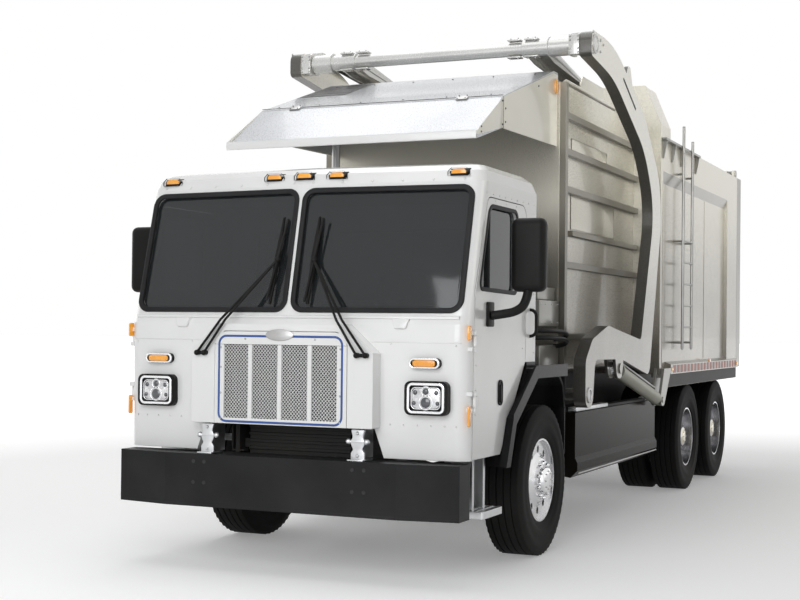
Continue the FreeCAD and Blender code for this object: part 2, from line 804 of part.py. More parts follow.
def rear_axles():
    """Both drive axles with their centre housings and the walking beams that carry them."""
    pieces = []
    z = tyre_radius
    reach = outer_dual_y + 100
    inner = rail_outer_y + 45
    for x in (rear_axle_x, rear_axle_x - tandem_spacing):
        pieces.append(rod(V(x, -inner, z), V(x, inner, z), 70))
        pieces.append(rod(V(x, -reach, z), V(x, reach, z), hub_bore - running_fit))
        pieces.append(Part.makeSphere(215, V(x, 0, z)))
    middle = rear_axle_x - tandem_spacing / 2
    for side in left_and_right:
        y = side * rail_centre_y
        beam = slab(
            "y",
            [(rear_axle_x + 60, z - 45, 40), (rear_axle_x + 60, z + 45, 40), (middle, z + 175, 200),
             (rear_axle_x - tandem_spacing - 60, z + 45, 40),
             (rear_axle_x - tandem_spacing - 60, z - 45, 40),
             (middle, z + 35, 200)],
            y - 35,
            y + 35,
        )
        pieces.append(beam)
        pieces.append(box((middle - 110, middle + 110), (y - 35, y + 35), (z + 115, rail_top - rail_depth)))
    return fused(*pieces)


def tyre(y, x):
    """One tyre, revolved: tread, shoulders, bulged walls and beads."""
    w = tyre_width / 2
    profile = [
        (rim_radius, y - w + 35, 0),
        (rim_radius + 60, y - w + 4, 60),
        (tyre_radius - 60, y - w, 60),
        (tyre_radius, y - w + tyre_shoulder, 15),
        (tyre_radius, y + w - tyre_shoulder, 15),
        (tyre_radius - 60, y + w, 60),
        (rim_radius + 60, y + w - 4, 60),
        (rim_radius, y + w - 35, 0),
    ]
    return turned(profile, x, tyre_radius)


def rim_barrel(y):
    """The profile of a rim's barrel between a tyre's beads."""
    w = tyre_width / 2 - 22
    inner = rim_radius - rim_lip
    return [(inner, y - w, 0), (rim_radius, y - w, 0), (rim_radius, y + w, 0), (inner, y + w, 0)]


def hand_hole_ring(x, low, high):
    """The round hand holes of a wheel's disc, as cutters."""
    holes = []
    for index in range(hand_holes):
        turn = math.radians((index + 0.5) * 360 / hand_holes)
        u = x + hand_hole_circle * math.cos(turn)
        v = tyre_radius + hand_hole_circle * math.sin(turn)
        holes.append(rod(V(u, low, v), V(u, high, v), hand_hole_radius))
    return Part.makeCompound(holes)


def front_rim(y, x):
    """A polished rim with hand holes in its disc and a stepped hub."""
    inner = rim_radius - rim_lip
    disc = [
        (hub_bore, y - 60, 0), (150, y - 60, 0), (150, y + 50, 0), (185, y + 62, 0), (inner, y + 72, 0),
        (inner + 2, y + 94, 0), (190, y + 92, 0), (165, y + 105, 0), (150, y + 120, 0), (95, y + 125, 0),
        (90, y + 165, 10), (hub_bore, y + 165, 0),
    ]
    rim = fused(turned(rim_barrel(y), x, tyre_radius), turned(disc, x, tyre_radius))
    return rim.cut(hand_hole_ring(x, y + 40, y + 120))


def dual_rims(y, x):
    """Two rims back to back with a deep dish outside and a hub that stands out of it."""
    w = tyre_width / 2
    inner_y = y - dual_spacing
    inner = rim_radius - rim_lip
    disc = [
        (hub_bore, inner_y + 20, 0), (200, inner_y + 20, 0), (inner + 2, inner_y + w - 60, 0),
        (inner + 2, y - w + 60, 0), (200, y - 55, 0), (160, y - 55, 0), (150, y - 30, 0),
        (100, y - 25, 0), (95, y + 90, 10), (hub_bore, y + 95, 0),
    ]
    rims = fused(
        turned(rim_barrel(y), x, tyre_radius),
        turned(rim_barrel(inner_y), x, tyre_radius),
        turned(disc, x, tyre_radius),
    )
    return rims.cut(hand_hole_ring(x, y - w + 20, y))


def side_skirts():
    """The dark tank covers between the front and rear wheels."""
    y = body_half_width
    z = rail_top
    section = [
        (y - 284, z - 560, 0), (y - 124, z - 585, 0), (y - 69, z - 530, 0), (y - 69, z - 470, 0),
        (y - 89, z - 430, 0), (y - 89, z - 85, 0), (y - 284, z - 85, 0),
    ]
    skirt = slab("x", section, shoulder_x - 200, pivot_x - 99)
    tank = box((shoulder_x - 160, pivot_x - 144), (rail_outer_y, y - 279), (z - 510, z - 130))
    return both(fused(skirt, tank))


# ---------------------------------------------------------------- refuse body

def body_section(inset, step):
    """The packer body's cross-section: walls stepped out at the band, and a flat roof."""
    w = body_half_width - inset
    low_w = w - step
    eave = body_half_width - 64 - inset / 2
    side_top = side_top_z - inset * 0.6
    right = [
        (low_w, body_floor + inset, 0), (low_w, band_low, 0), (w, band_high, 0), (w, side_top, 0),
        (eave, roof_top_z - inset, 0),
    ]
    return right + [(-u, v, radius) for u, v, radius in reversed(right)]


def hood_section(inset, low):
    """The cross-section of the raised hood at the body's front end."""
    w = body_half_width - inset
    apex = hood_apex_y - inset * 0.7
    corner = hood_corner_z - inset * 0.2
    top = hood_apex_z - inset
    return [(-w, low, 0), (w, low, 0), (w, corner, 30), (apex, top, 25), (-apex, top, 25), (-w, corner, 30)]


def hopper_section(inset):
    """The hopper's cross-section, open at the top."""
    w = hopper_half_width - inset
    low = hopper_floor + inset
    return [(-w, low, 60), (w, low, 60), (w, hopper_top, 0), (-w, hopper_top, 0)]


def body_outside():
    """The packer body's outer form: walls between two full-width columns, with the hood in front."""
    walls = slab("x", body_section(0, body_step), rear_column_x, front_column_x)
    rear_column = slab("x", body_section(0, 0), body_rear_x, rear_column_x)
    front_column = slab("x", body_section(0, 0), front_column_x, shoulder_x)
    hood = slab("x", hood_section(0, side_top_z - 80), shoulder_x - hood_length, shoulder_x)
    return fused(walls, rear_column, front_column, hood)


def packer_body():
    """The closed packer body, open behind, its front wall open to the hopper, with its hinge clevises."""
    body = body_outside()
    body = body.cut(slab("x", body_section(body_wall, body_step), body_rear_x - 1, shoulder_x - body_wall))
    inside_hood = hood_section(body_wall, side_top_z - 70)
    body = body.cut(slab("x", inside_hood, shoulder_x - hood_length + body_wall, shoulder_x - body_wall))
    body = body.cut(slab("x", hopper_section(body_wall), shoulder_x - body_wall - 1, shoulder_x + 1))
    pieces = [body]
    foot = roof_top_z - body_wall + 2
    reach = 30 + tailgate_side_play + 26
    for y in (-tailgate_lug_y, tailgate_lug_y):
        for low in (y - reach, y + reach - 26):
            ear = [
                (body_rear_x + 130, foot, 0), (body_rear_x + 60, tailgate_hinge_z + 20, 20),
                (body_rear_x - 20, tailgate_hinge_z + 20, 19), (body_rear_x - 20, tailgate_hinge_z - 20, 19),
                (body_rear_x + 12, foot + 26, 0), (body_rear_x + 12, foot, 0),
            ]
            pieces.append(slab("y", ear, low, low + 26))
        pieces.append(
            rod(V(body_rear_x, y - reach, tailgate_hinge_z), V(body_rear_x, y + reach, tailgate_hinge_z),
                tailgate_pin_radius)
        )
    return fused(*pieces)


def hopper():
    """The open hopper ahead of the packer body, with a tube and a guard plate along each wall's top."""
    outer = slab("x", hopper_section(0), shoulder_x, hopper_front_x)
    inside = slab("x", hopper_section(body_wall), shoulder_x - 1, hopper_front_x - body_wall)
    y = hopper_half_width - body_wall / 2
    z = hopper_top
    tube = rod(V(shoulder_x + 660, y, z + 25), V(hopper_front_x - 187, y, z + 25), 26)
    guard = slab(
        "y",
        [(hopper_front_x - 572, z - 20, 0), (hopper_front_x - 572, z + 79, 0),
         (hopper_front_x - 642, z + 150, 0), (shoulder_x + 983, z + 150, 0), (shoulder_x + 983, z - 20, 0)],
        y - 5,
        y + 5,
    )
    rims = fused(tube, guard)
    return fused(outer.cut(inside), rims, mirrored(rims))


def hopper_ribs():
    """The ribs along the hopper's sides and the post at its front corners."""
    pieces = []
    wall = hopper_half_width
    post_x = hopper_front_x - 60
    for height in (260, 820, 1410, 1703, 1985):
        z = hopper_floor + height
        pieces.append(box((shoulder_x, post_x), (wall, wall + 45), (z, z + 50)))
    pieces.append(box((post_x, hopper_front_x), (wall, wall + 50), (hopper_floor + 60, hopper_top)))
    return both(Part.makeCompound(pieces))


def body_runners():
    """The two runners that carry the body and the hopper on the chassis rails."""
    y = (rail_inner_y, rail_outer_y)
    low_runner = box((body_rear_x, shoulder_x), y, (rail_top, body_floor))
    high_runner = box((shoulder_x, hopper_front_x - 200), y, (rail_top, hopper_floor))
    return both(fused(low_runner, high_runner))


def canopy():
    """The bent sheet over the cab's rear half, with side plates and a rolled lip."""
    top = [
        (ridge_x - 100, ridge_z, 0), (ridge_x, ridge_z, 0), (break_x, break_z, 0), (lip_x, lip_z, 0),
        (lip_x - 12, lip_z - canopy_sheet, 0), (break_x - 10, break_z - canopy_sheet, 0),
        (ridge_x - 5, ridge_z - canopy_sheet, 0), (ridge_x - 100, ridge_z - canopy_sheet, 0),
    ]
    sheet = slab("y", top, -canopy_half_width, canopy_half_width)
    cheek = [
        (hopper_front_x, ridge_z - 5, 0), (ridge_x, ridge_z - 5, 0), (break_x, break_z - 5, 0),
        (lip_x - 14, lip_z - 5, 0), (lip_x - 30, lip_z - 20, 0), (break_x - 11, break_z - 216, 0),
        (hopper_front_x, ridge_z - 562, 0),
    ]
    plate = slab("y", cheek, canopy_half_width - 15, canopy_half_width)
    w = canopy_half_width
    bridge = box((hopper_front_x, hopper_front_x + 30), (-w, w), (ridge_z - 272, ridge_z - 5))
    return fused(sheet, plate, mirrored(plate), bridge)


def sill_shelves():
    """The shelf along each side of the body's foot, with a rail beneath it."""
    y = body_half_width
    front = shoulder_x - 350
    wall = y - body_step
    section = [
        (wall, body_floor, 0), (y + 24, body_floor - 4, 0), (y + 24, body_floor + 87, 0),
        (wall, body_floor + 110, 0),
    ]
    shelf = slab("x", section, body_rear_x, front).cut(body_outside())
    rail = box((body_rear_x, front), (y - 29, y), (2 * tyre_radius + 6, body_floor))
    return both(fused(shelf, rail))


def ladder():
    """The ladder up the left side, with the walkway shelf and its gussets at the top."""
    pieces = []
    y = body_half_width
    wall = y - body_step
    # distance of the stile behind the shoulder, height of its upper end over the floor
    for offset, top in ((672, 2356), (1058, 2259)):
        x = shoulder_x - offset
        pieces.append(rod(V(x, ladder_y, body_floor + 230), V(x, ladder_y, body_floor + top), 14))
        for z in (body_floor + 290, body_floor + 1260):
            pieces.append(rod(V(x, wall, z), V(x, ladder_y, z), 10))
        pieces.append(rod(V(x, y, band_high + 30), V(x, ladder_y, band_high + 30), 10))
    for index in range(5):
        z = body_floor + 439 + index * 207
        pieces.append(rod(V(shoulder_x - 1058, ladder_y, z), V(shoulder_x - 672, ladder_y, z), 10))
    walkway = side_top_z - 27
    pieces.append(box((shoulder_x - 1480, shoulder_x - 20), (y, y + 46), (walkway, walkway + 20)))
    for offset in (70, 420, 796, 1440):
        x = shoulder_x - offset
        tip = walkway - 165
        gusset = [(y, walkway + 1, 0), (y, tip, 0), (y + 12, tip, 0), (y + 44, walkway + 1, 0)]
        pieces.append(slab("x", gusset, x, x + 10))
    return fused(*pieces)


def eye(x, z, y, half_thickness, radius, bore):
    """A flat eye about the Y axis; a bore of 0 leaves it solid."""
    ring = rod(V(x, y - half_thickness, z), V(x, y + half_thickness, z), radius)
    if bore > 0:
        ring = ring.cut(rod(V(x, y - half_thickness - 1, z), V(x, y + half_thickness + 1, z), bore))
    return ring


arm_middle_y = arm_inner_y + arm_thickness / 2
cheek_thickness = (arm_thickness - cheek_gap) / 2


def arm_supports():
    """Bearings for the arms' torque tube on the rails and the hopper, and the cylinders' base brackets."""
    pieces = []
    bore = rod(V(pivot_x, 0, pivot_z), V(pivot_x, arm_inner_y - 7, pivot_z), torque_radius + running_fit)
    block = slab(
        "y",
        [(pivot_x - 110, rail_top, 0), (pivot_x + 110, rail_top, 0), (pivot_x + 80, pivot_z + 75, 60),
         (pivot_x - 80, pivot_z + 75, 60)],
        rail_centre_y - 30,
        rail_centre_y + 30,
    )
    pieces.append(block.cut(bore))
    plate = slab(
        "y",
        [(hopper_front_x, hopper_floor + 240, 0), (hopper_front_x, pivot_z - 6, 0),
         (pivot_x - 70, pivot_z - 85, 60), (pivot_x + 85, pivot_z - 85, 80),
         (pivot_x + 85, pivot_z + 90, 80), (hopper_front_x + 60, hopper_floor + 240, 0)],
        hopper_half_width - 65,
        hopper_half_width - 15,
    )
    pieces.append(plate.cut(bore))
    outer_y = arm_inner_y + arm_thickness
    top = body_floor + 56
    hanger = [
        (base_x - 330, top, 0), (base_x - 60, base_z - 55, 55), (base_x + 60, base_z - 55, 55),
        (base_x + 60, base_z + 55, 0), (base_x - 60, top, 0),
    ]
    inner = slab("y", hanger, arm_inner_y, arm_inner_y + cheek_thickness)
    outer = slab("y", hanger, outer_y - cheek_thickness, outer_y)
    pin = rod(V(base_x, arm_inner_y - 8, base_z), V(base_x, outer_y + 8, base_z), pin_radius)
    x = (shoulder_x - 270, shoulder_x - 5)
    shoe = box(x, (body_half_width - body_step, outer_y), (top - 50, top))
    tie = box(x, (arm_inner_y - 30, body_half_width + 5), (top - 86, top - 50))
    pieces.append(fused(inner, outer, pin, shoe, tie).cut(body_outside()))
    solids = []
    for piece in pieces:
        solids.append(piece)
        solids.append(mirrored(piece))
    return Part.makeCompound(solids)


arm_back_x = shoulder_x + 190
arm_outline = [
    (tip_x + 91, tip_z - 100, 40),
    (tip_x - 541, tip_z - 175, 1500),
    (arm_back_x + 590, tip_z - 635, 900),
    (arm_back_x + 235, ear_z + 1380, 500),
    (arm_back_x + 665, ear_z + 230, 60),
    (pivot_x - 514, pivot_z + 529, 150),
    (pivot_x - 84, pivot_z + 424, 150),
    (pivot_x + boss_radius, pivot_z + 264, 100),
    (pivot_x + boss_radius, pivot_z - boss_radius, boss_radius - 1),
    (pivot_x - boss_radius, pivot_z - boss_radius, boss_radius - 1),
    (pivot_x - 154, pivot_z + 264, 80),
    (ear_x - 50, ear_z + 75, 200),
    (ear_x - 630, ear_z - 25, 200),
    (ear_x - 970, ear_z - 80, 100),
    (arm_back_x, ear_z + 1230, 400),
    (arm_back_x + 30, tip_z - 855, 500),
    (arm_back_x + 590, tip_z - 335, 900),
    (tip_x - 541, tip_z + 95, 1500),
    (tip_x + 91, tip_z + 95, 80),
]


def lift_arms():
    """Both curved arms with their root plates, joined by the torque tube behind the cab."""
    arm = slab("y", arm_outline, arm_inner_y, arm_inner_y + arm_thickness)
    arm = arm.cut(eye(tip_x, tip_z, arm_middle_y, arm_thickness, fork_tube_radius + running_fit, 0))
    relief = rectangle((ear_x - 60, ear_x + 340), (ear_z - 150, ear_z + 105), 40)
    arm = arm.cut(slab("y", relief, arm_middle_y - cheek_gap / 2, arm_middle_y + cheek_gap / 2))
    pieces = [arm]
    for low in (arm_inner_y, arm_inner_y + arm_thickness - cheek_thickness):
        cheek = slab(
            "y",
            [(ear_x - 120, ear_z + 150, 0), (ear_x - ear_radius, ear_z - ear_radius, ear_radius - 1),
             (ear_x + ear_radius, ear_z - ear_radius, ear_radius - 1), (ear_x + 160, ear_z + 150, 0)],
            low,
            low + cheek_thickness,
        )
        pieces.append(cheek)
    for outside in (arm_inner_y - 12, arm_inner_y + arm_thickness - 1):
        pieces.append(rod(V(ear_x, outside, ear_z), V(ear_x, outside + 13, ear_z), pin_radius + 14))
    lug = slab(
        "y",
        [(fork_base_x - 220, tip_z - 315, 0), (fork_base_x - 40, fork_base_z + 35, 30),
         (fork_base_x + 40, fork_base_z + 35, 30), (fork_base_x + 160, tip_z - 155, 0)],
        arm_inner_y,
        arm_inner_y + 30,
    )
    pieces.append(lug)
    start = V(fork_base_x, crank_y - fork_barrel_radius + 4, fork_base_z)
    pieces.append(rod(start, V(fork_base_x, arm_inner_y + 5, fork_base_z), fork_pin_radius))
    left = fused(*pieces)
    tube = rod(V(pivot_x, -arm_inner_y - 5, pivot_z), V(pivot_x, arm_inner_y + 5, pivot_z), torque_radius)
    return fused(left, mirrored(left), tube)


def along(x, z, angle, distance):
    """The point at a distance from x, z, in a direction counted in degrees up from +X."""
    turn = math.radians(angle)
    return x + distance * math.cos(turn), z + distance * math.sin(turn)


crank_x, crank_z = along(tip_x, tip_z, crank_angle, crank_reach)


def fork_frame():
    """The cross tube with its collars and clamp blocks, the cranks and the two forks."""
    reach = arm_inner_y + arm_thickness + 8
    pieces = [rod(V(tip_x, -reach, tip_z), V(tip_x, reach, tip_z), fork_tube_radius)]
    collar = rod(V(tip_x, crank_y - 215, tip_z), V(tip_x, crank_y - 55, tip_z), fork_collar_radius)
    crank = [
        (tip_x - 90, tip_z - 90, 20), (tip_x + 90, tip_z - 90, 20), (tip_x + 90, tip_z + 90, 30),
        (crank_x - 10, crank_z + 36, 34), (crank_x - 36, crank_z - 36, 34),
    ]
    cheeks = [slab("y", crank, crank_y - 42, crank_y - 22), slab("y", crank, crank_y + 22, crank_y + 42)]
    front_plate = box((tip_x + 75, tip_x + 90), (crank_y - 42, crank_y + 42), (tip_z - 70, tip_z + 60))
    wedge = [
        (tip_x + 75, tip_z + 92, 15), (tip_x + 75, tip_z - 92, 15), (tip_x - 300, tip_z - 70, 0),
        (tip_x - fork_length, tip_z - 14, 0), (tip_x - fork_length, tip_z + 14, 0),
        (tip_x - 300, tip_z + 70, 0),
    ]
    gap = [
        (tip_x + 45, tip_z + 50, 0), (tip_x + 45, tip_z - 50, 0), (tip_x - 290, tip_z - 42, 0),
        (tip_x - 900, tip_z - 6, 0), (tip_x - 900, tip_z + 6, 0), (tip_x - 290, tip_z + 42, 0),
    ]
    fork_y = arm_inner_y - fork_inset
    fork = slab("y", wedge, fork_y - fork_width / 2, fork_y + fork_width / 2)
    fork = fork.cut(slab("y", gap, fork_y - fork_width, fork_y + fork_width))
    fork.rotate(V(tip_x, 0, tip_z), V(0, 1, 0), -fork_tilt)
    for side in left_and_right:
        for piece in (collar, *cheeks, front_plate, fork):
            pieces.append(on_side(piece, side))
    return fused(*pieces)


def barrel_and_rod(base, tip, y, radius, length, stem, eye_size, pin):
    """A cylinder's barrel and its rod, lying from the base pin to the rod's eye."""
    start = V(base[0], y, base[1])
    end = V(tip[0], y, tip[1])
    along_axis = (end - start).normalize()
    half = cheek_gap / 2 - eye_side_play if eye_size > 40 else stem
    base_eye = eye(base[0], base[1], y, half, eye_size, 0)
    neck = rod(start, start + along_axis * (eye_size + 45), half * neck_share)
    shell = rod(start + along_axis * (eye_size + 40), start + along_axis * length, radius)
    gland = rod(start + along_axis * (length - 60), start + along_axis * length, radius + 5)
    barrel = fused(base_eye, neck, shell, gland)
    pin_hole = eye(base[0], base[1], y, half + 1, pin + running_fit, 0)
    hollow = rod(start + along_axis * (eye_size + 48), start + along_axis * (length + 1), stem + running_fit)
    barrel = barrel.cut(pin_hole).cut(hollow)
    rod_eye = eye(tip[0], tip[1], y, half, eye_size, 0)
    rod_neck = rod(end, end - along_axis * (eye_size + 80), half * neck_share)
    shaft = rod(end - along_axis * (eye_size + 75), start + along_axis * (eye_size + 55), stem)
    return barrel, fused(rod_eye, rod_neck, shaft)


def packer_blade():
    """The pusher that sweeps the hopper, with its sloped upper face."""
    y = hopper_half_width - body_wall - blade_clearance
    low = hopper_floor + body_wall + blade_clearance
    profile = [
        (blade_front_x, low, 0), (blade_front_x, low + 560, 60), (blade_front_x - 130, low + 860, 60),
        (blade_front_x - 210, low + 860, 30), (blade_front_x - 210, low, 0),
    ]
    blade = slab("y", profile, -y, y)
    relief = slab(
        "y",
        rectangle((blade_front_x - 150, blade_front_x + 1), (low + 60, low + 500), 0),
        60 - y,
        y - 60,
    )
    channel = slab("x", hopper_section(body_wall + blade_clearance), 0, hopper_front_x)
    return blade.cut(relief).common(channel)


def tailgate():
    """The hollow tailgate, closed behind, hung from two lugs above the roof."""
    gap_x = body_rear_x - tailgate_gap
    outer = slab("x", body_section(0, 0), tailgate_rear_x, gap_x)
    inner = slab("x", body_section(body_wall, 0), tailgate_rear_x + body_wall, gap_x + 1)
    pieces = [outer.cut(inner)]
    foot = roof_top_z - body_wall + 2
    for y in (-tailgate_lug_y, tailgate_lug_y):
        lug = slab(
            "y",
            [(body_rear_x - 150, foot, 0), (body_rear_x - 28, tailgate_hinge_z + 18, 18),
             (body_rear_x + 18, tailgate_hinge_z + 18, 17), (body_rear_x + 18, tailgate_hinge_z - 12, 0),
             (gap_x - 2, foot + 26, 0), (gap_x - 2, foot, 0)],
            y - 30,
            y + 30,
        )
        pieces.append(lug)
    reach = tailgate_lug_y + 100
    start = V(body_rear_x, -reach, tailgate_hinge_z)
    end = V(body_rear_x, reach, tailgate_hinge_z)
    return fused(*pieces).cut(rod(start, end, tailgate_pin_radius + running_fit))


def cab_mounts():
    """Pads between the rails and the cab's floor."""
    pieces = []
    y = (rail_centre_y - 40, rail_centre_y + 40)
    for x in (cab_rear_x + 115, cab_nose_x - 335):
        pieces.append(box((x, x + 110), y, (rail_top, cab_floor - 50)))
    return both(Part.makeCompound(pieces))


lift_barrel, lift_rod = barrel_and_rod(
    (base_x, base_z), (ear_x, ear_z), arm_middle_y, barrel_radius, barrel_length,
    rod_radius, eye_radius, pin_radius,
)
fork_barrel, fork_rod = barrel_and_rod(
    (fork_base_x, fork_base_z), (crank_x, crank_z), crank_y, fork_barrel_radius, fork_barrel_length,
    fork_rod_radius, fork_eye_radius, fork_pin_radius,
)


def main():
    os.makedirs("parts", exist_ok=True)
    save("frame_rails", frame_rails())
    save("engine_and_radiator", engine_block())
    save("bumper", bumper())
    save("tow_brackets", tow_brackets())
    save("cab_shell", cab_shell())
    save("cab_glass", cab_glass())
    save("cab_mounts", cab_mounts())
    save("cab_interior", cab_interior())
    save("grille_surround", grille_surround())
    save("grille", grille())
    save("headlamps", headlamps())
    save("turn_signals", turn_signals())
    save("roof_lamps", roof_lamps())
    save("wipers", wipers())
    save("fender_flares", fender_flares())
    save("cab_steps", cab_steps())
    save("front_axle", front_axle())
    save("rear_axles", rear_axles())
    save("side_skirts", side_skirts())
    save("packer_body", packer_body())
    save("hopper", hopper())
    save("hopper_ribs", hopper_ribs())
    save("body_runners", body_runners())
    save("canopy", canopy())
    save("sill_shelves", sill_shelves())
    save("ladder", ladder())
    save("arm_supports", arm_supports())
    save("lift_arms", lift_arms())
    save("fork_frame", fork_frame())
    save("lift_barrels", both(lift_barrel))
    save("lift_rods", both(lift_rod))
    save("fork_barrels", both(fork_barrel))
    save("fork_rods", both(fork_rod))
    save("packer_blade", packer_blade())
    save("tailgate", tailgate())
    for side, name in ((1, "left"), (-1, "right")):
        save("door_" + name, on_side(door(), side))
        save("door_glass_" + name, on_side(door_glass(), side))
        save("mirror_" + name, on_side(mirror(), side))
        save("knuckle_" + name, on_side(knuckle(), side))
        save("front_tyre_" + name, on_side(tyre(front_wheel_y, front_axle_x), side))
        save("front_rim_" + name, on_side(front_rim(front_wheel_y, front_axle_x), side))
        for axle, x in (("middle", rear_axle_x), ("rear", rear_axle_x - tandem_spacing)):
            pair = Part.makeCompound([tyre(outer_dual_y, x), tyre(outer_dual_y - dual_spacing, x)])
            save(axle + "_tyres_" + name, on_side(pair, side))
            save(axle + "_rims_" + name, on_side(dual_rims(outer_dual_y, x), side))


main()
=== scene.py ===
import math

import bmesh
import bpy
from mathutils import Matrix, Vector


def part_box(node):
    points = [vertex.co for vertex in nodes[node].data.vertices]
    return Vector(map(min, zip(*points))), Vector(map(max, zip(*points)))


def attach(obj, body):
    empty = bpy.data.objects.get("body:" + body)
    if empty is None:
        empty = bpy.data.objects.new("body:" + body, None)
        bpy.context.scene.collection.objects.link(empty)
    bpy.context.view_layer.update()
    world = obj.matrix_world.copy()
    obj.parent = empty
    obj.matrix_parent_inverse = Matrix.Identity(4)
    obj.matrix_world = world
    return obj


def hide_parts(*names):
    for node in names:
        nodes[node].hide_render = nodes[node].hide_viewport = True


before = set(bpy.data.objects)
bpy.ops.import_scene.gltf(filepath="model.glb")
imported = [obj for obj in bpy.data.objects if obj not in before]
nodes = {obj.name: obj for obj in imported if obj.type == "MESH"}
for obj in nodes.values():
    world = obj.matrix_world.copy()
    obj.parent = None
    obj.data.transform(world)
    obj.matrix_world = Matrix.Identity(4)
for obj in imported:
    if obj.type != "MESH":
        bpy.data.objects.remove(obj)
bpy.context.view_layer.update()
print("frame loaded:", len(nodes), "nodes")

# ---- shader nodes


def feed(tree, node, takes):
    # each input gets a value, or a link from another node's output
    for socket, value in takes.items():
        if isinstance(value, bpy.types.NodeSocket):
            tree.links.new(value, node.inputs[socket])
        else:
            node.inputs[socket].default_value = value


def addNode(tree, kind, takes=None):
    node = tree.nodes.new("ShaderNode" + kind)
    feed(tree, node, takes or {})
    return node


def calculated(tree, operation, first, second=0.0):
    node = addNode(tree, "Math")
    node.operation = operation
    feed(tree, node, {0: first, 1: second})
    return node.outputs[0]


def blended(tree, amount, first, second):
    node = addNode(tree, "Mix")
    node.data_type = "RGBA"
    feed(tree, node, {"Factor": amount, "A": first, "B": second})
    return node.outputs["Result"]


def newPaint(name):
    paint = bpy.data.materials.new(name)
    paint.use_nodes = True
    return paint, paint.node_tree, paint.node_tree.nodes["Principled BSDF"]


# ---- camera, light and floor

camera = {
    "place": (12.069, 4.297, 1.567),
    "yaw": 203.775,
    "pitch": 0.602,
    "roll": 0.611,
    "lens": 62.67,
    "shift": (-0.0146, 0.0187),
}


def addCamera(size):
    yaw, pitch, roll = (math.radians(size[key]) for key in ("yaw", "pitch", "roll"))
    ahead = Vector((math.cos(yaw) * math.cos(pitch), math.sin(yaw) * math.cos(pitch), math.sin(pitch)))
    right = Vector((math.sin(yaw), -math.cos(yaw), 0))
    up = right.cross(ahead)
    side = right * math.cos(roll) + up * math.sin(roll)
    top = up * math.cos(roll) - right * math.sin(roll)
    data = bpy.data.cameras.new("camera")
    data.lens = size["lens"]
    data.shift_x, data.shift_y = size["shift"]
    data.clip_end = 200
    item = bpy.data.objects.new("camera", data)
    turn = Matrix((side, top, -ahead)).transposed().to_4x4()
    item.matrix_world = Matrix.Translation(size["place"]) @ turn
    bpy.context.collection.objects.link(item)
    bpy.context.scene.camera = item


# each lamp: name, place, what it looks at, width, height, strength, colour, spread in degrees
lamps = (
    ("topLamp", (0.5, -1.6, 9.5), (0, 0, 1), 14, 5, 305, (1.0, 1.0, 1.0), 180),
    ("frontLamp", (10.5, 1.2, 3.6), (3, 0, 1.6), 5, 4, 255, (0.97, 0.985, 1.0), 180),
    ("leftLamp", (-1.5, 10.5, 5.0), (-0.5, 0, 1.8), 12, 6, 22, (1.0, 0.95, 0.86), 180),
    ("upperLeftLamp", (0.5, 10.5, 5.4), (0.5, 0, 4.0), 12, 2.5, 20, (1.0, 0.96, 0.82), 36),
    ("rearLamp", (-11, -3, 5), (-3, 0, 2), 7, 5, 95, (1.0, 1.0, 1.0), 180),
    ("rightLamp", (0, -11, 5), (0, 0, 1.5), 12, 5, 190, (1.0, 1.0, 1.0), 180),
)


def addLamps():
    for name, place, target, width, height, strength, colour, spread in lamps:
        data = bpy.data.lights.new(name, "AREA")
        data.shape = "RECTANGLE"
        data.size, data.size_y = width, height
        data.energy = strength
        data.color = colour
        data.spread = math.radians(spread)
        item = bpy.data.objects.new(name, data)
        item.location = place
        item.rotation_euler = (Vector(target) - Vector(place)).to_track_quat("-Z", "Y").to_euler()
        bpy.context.collection.objects.link(item)


def shownRays(tree):
    # 1 for what the camera, a mirror or clear glass sees
    rays = addNode(tree, "LightPath").outputs
    first = calculated(tree, "MAXIMUM", rays["Is Camera Ray"], rays["Is Glossy Ray"])
    return calculated(tree, "MAXIMUM", first, rays["Is Transmission Ray"])


white = (1, 1, 1, 1)
room = {"fill": 0.27, "floor": 400, "glowFrom": 6.5, "glowTo": 17.0, "glowLow": 0.24, "glowHigh": 1.0}


def addWorld():
    world = bpy.data.worlds.new("paleRoom")
    world.use_nodes = True
    tree = world.node_tree
    tree.nodes.clear()
    fill = addNode(tree, "Background", {"Color": white, "Strength": room["fill"]})
    seen = addNode(tree, "Background", {"Color": white})
    mix = addNode(tree, "MixShader", {0: shownRays(tree), 1: fill.outputs[0], 2: seen.outputs[0]})
    addNode(tree, "OutputWorld", {"Surface": mix.outputs[0]})
    bpy.context.scene.world = world


def addFloor():
    bm = bmesh.new()
    bmesh.ops.create_grid(bm, x_segments=1, y_segments=1, size=room["floor"])
    mesh = bpy.data.meshes.new("floor")
    bm.to_mesh(mesh)
    bm.free()
    item = bpy.data.objects.new("floor", mesh)
    bpy.context.collection.objects.link(item)
    paint, tree, shader = newPaint("paleFloor")
    # the floor's own light grows away from the truck, so it ends in the white behind
    away = addNode(tree, "VectorMath")
    away.operation = "LENGTH"
    feed(tree, away, {0: addNode(tree, "TexCoord").outputs["Object"]})
    ramp = addNode(tree, "MapRange", {
        "Value": away.outputs["Value"], "From Min": room["glowFrom"], "From Max": room["glowTo"],
        "To Min": room["glowLow"], "To Max": room["glowHigh"],
    })
    feed(tree, shader, {
        "Base Color": (0.9, 0.9, 0.9, 1), "Roughness": 0.75, "Specular IOR Level": 0.2, "Emission Color": white,
        "Emission Strength": calculated(tree, "MULTIPLY", shownRays(tree), ramp.outputs[0]),
    })
    mesh.materials.append(paint)


addCamera(camera)
addLamps()
addWorld()
addFloor()
bpy.context.scene.view_settings.view_transform = "Standard"
print("camera, light and floor")

# ---- finishes

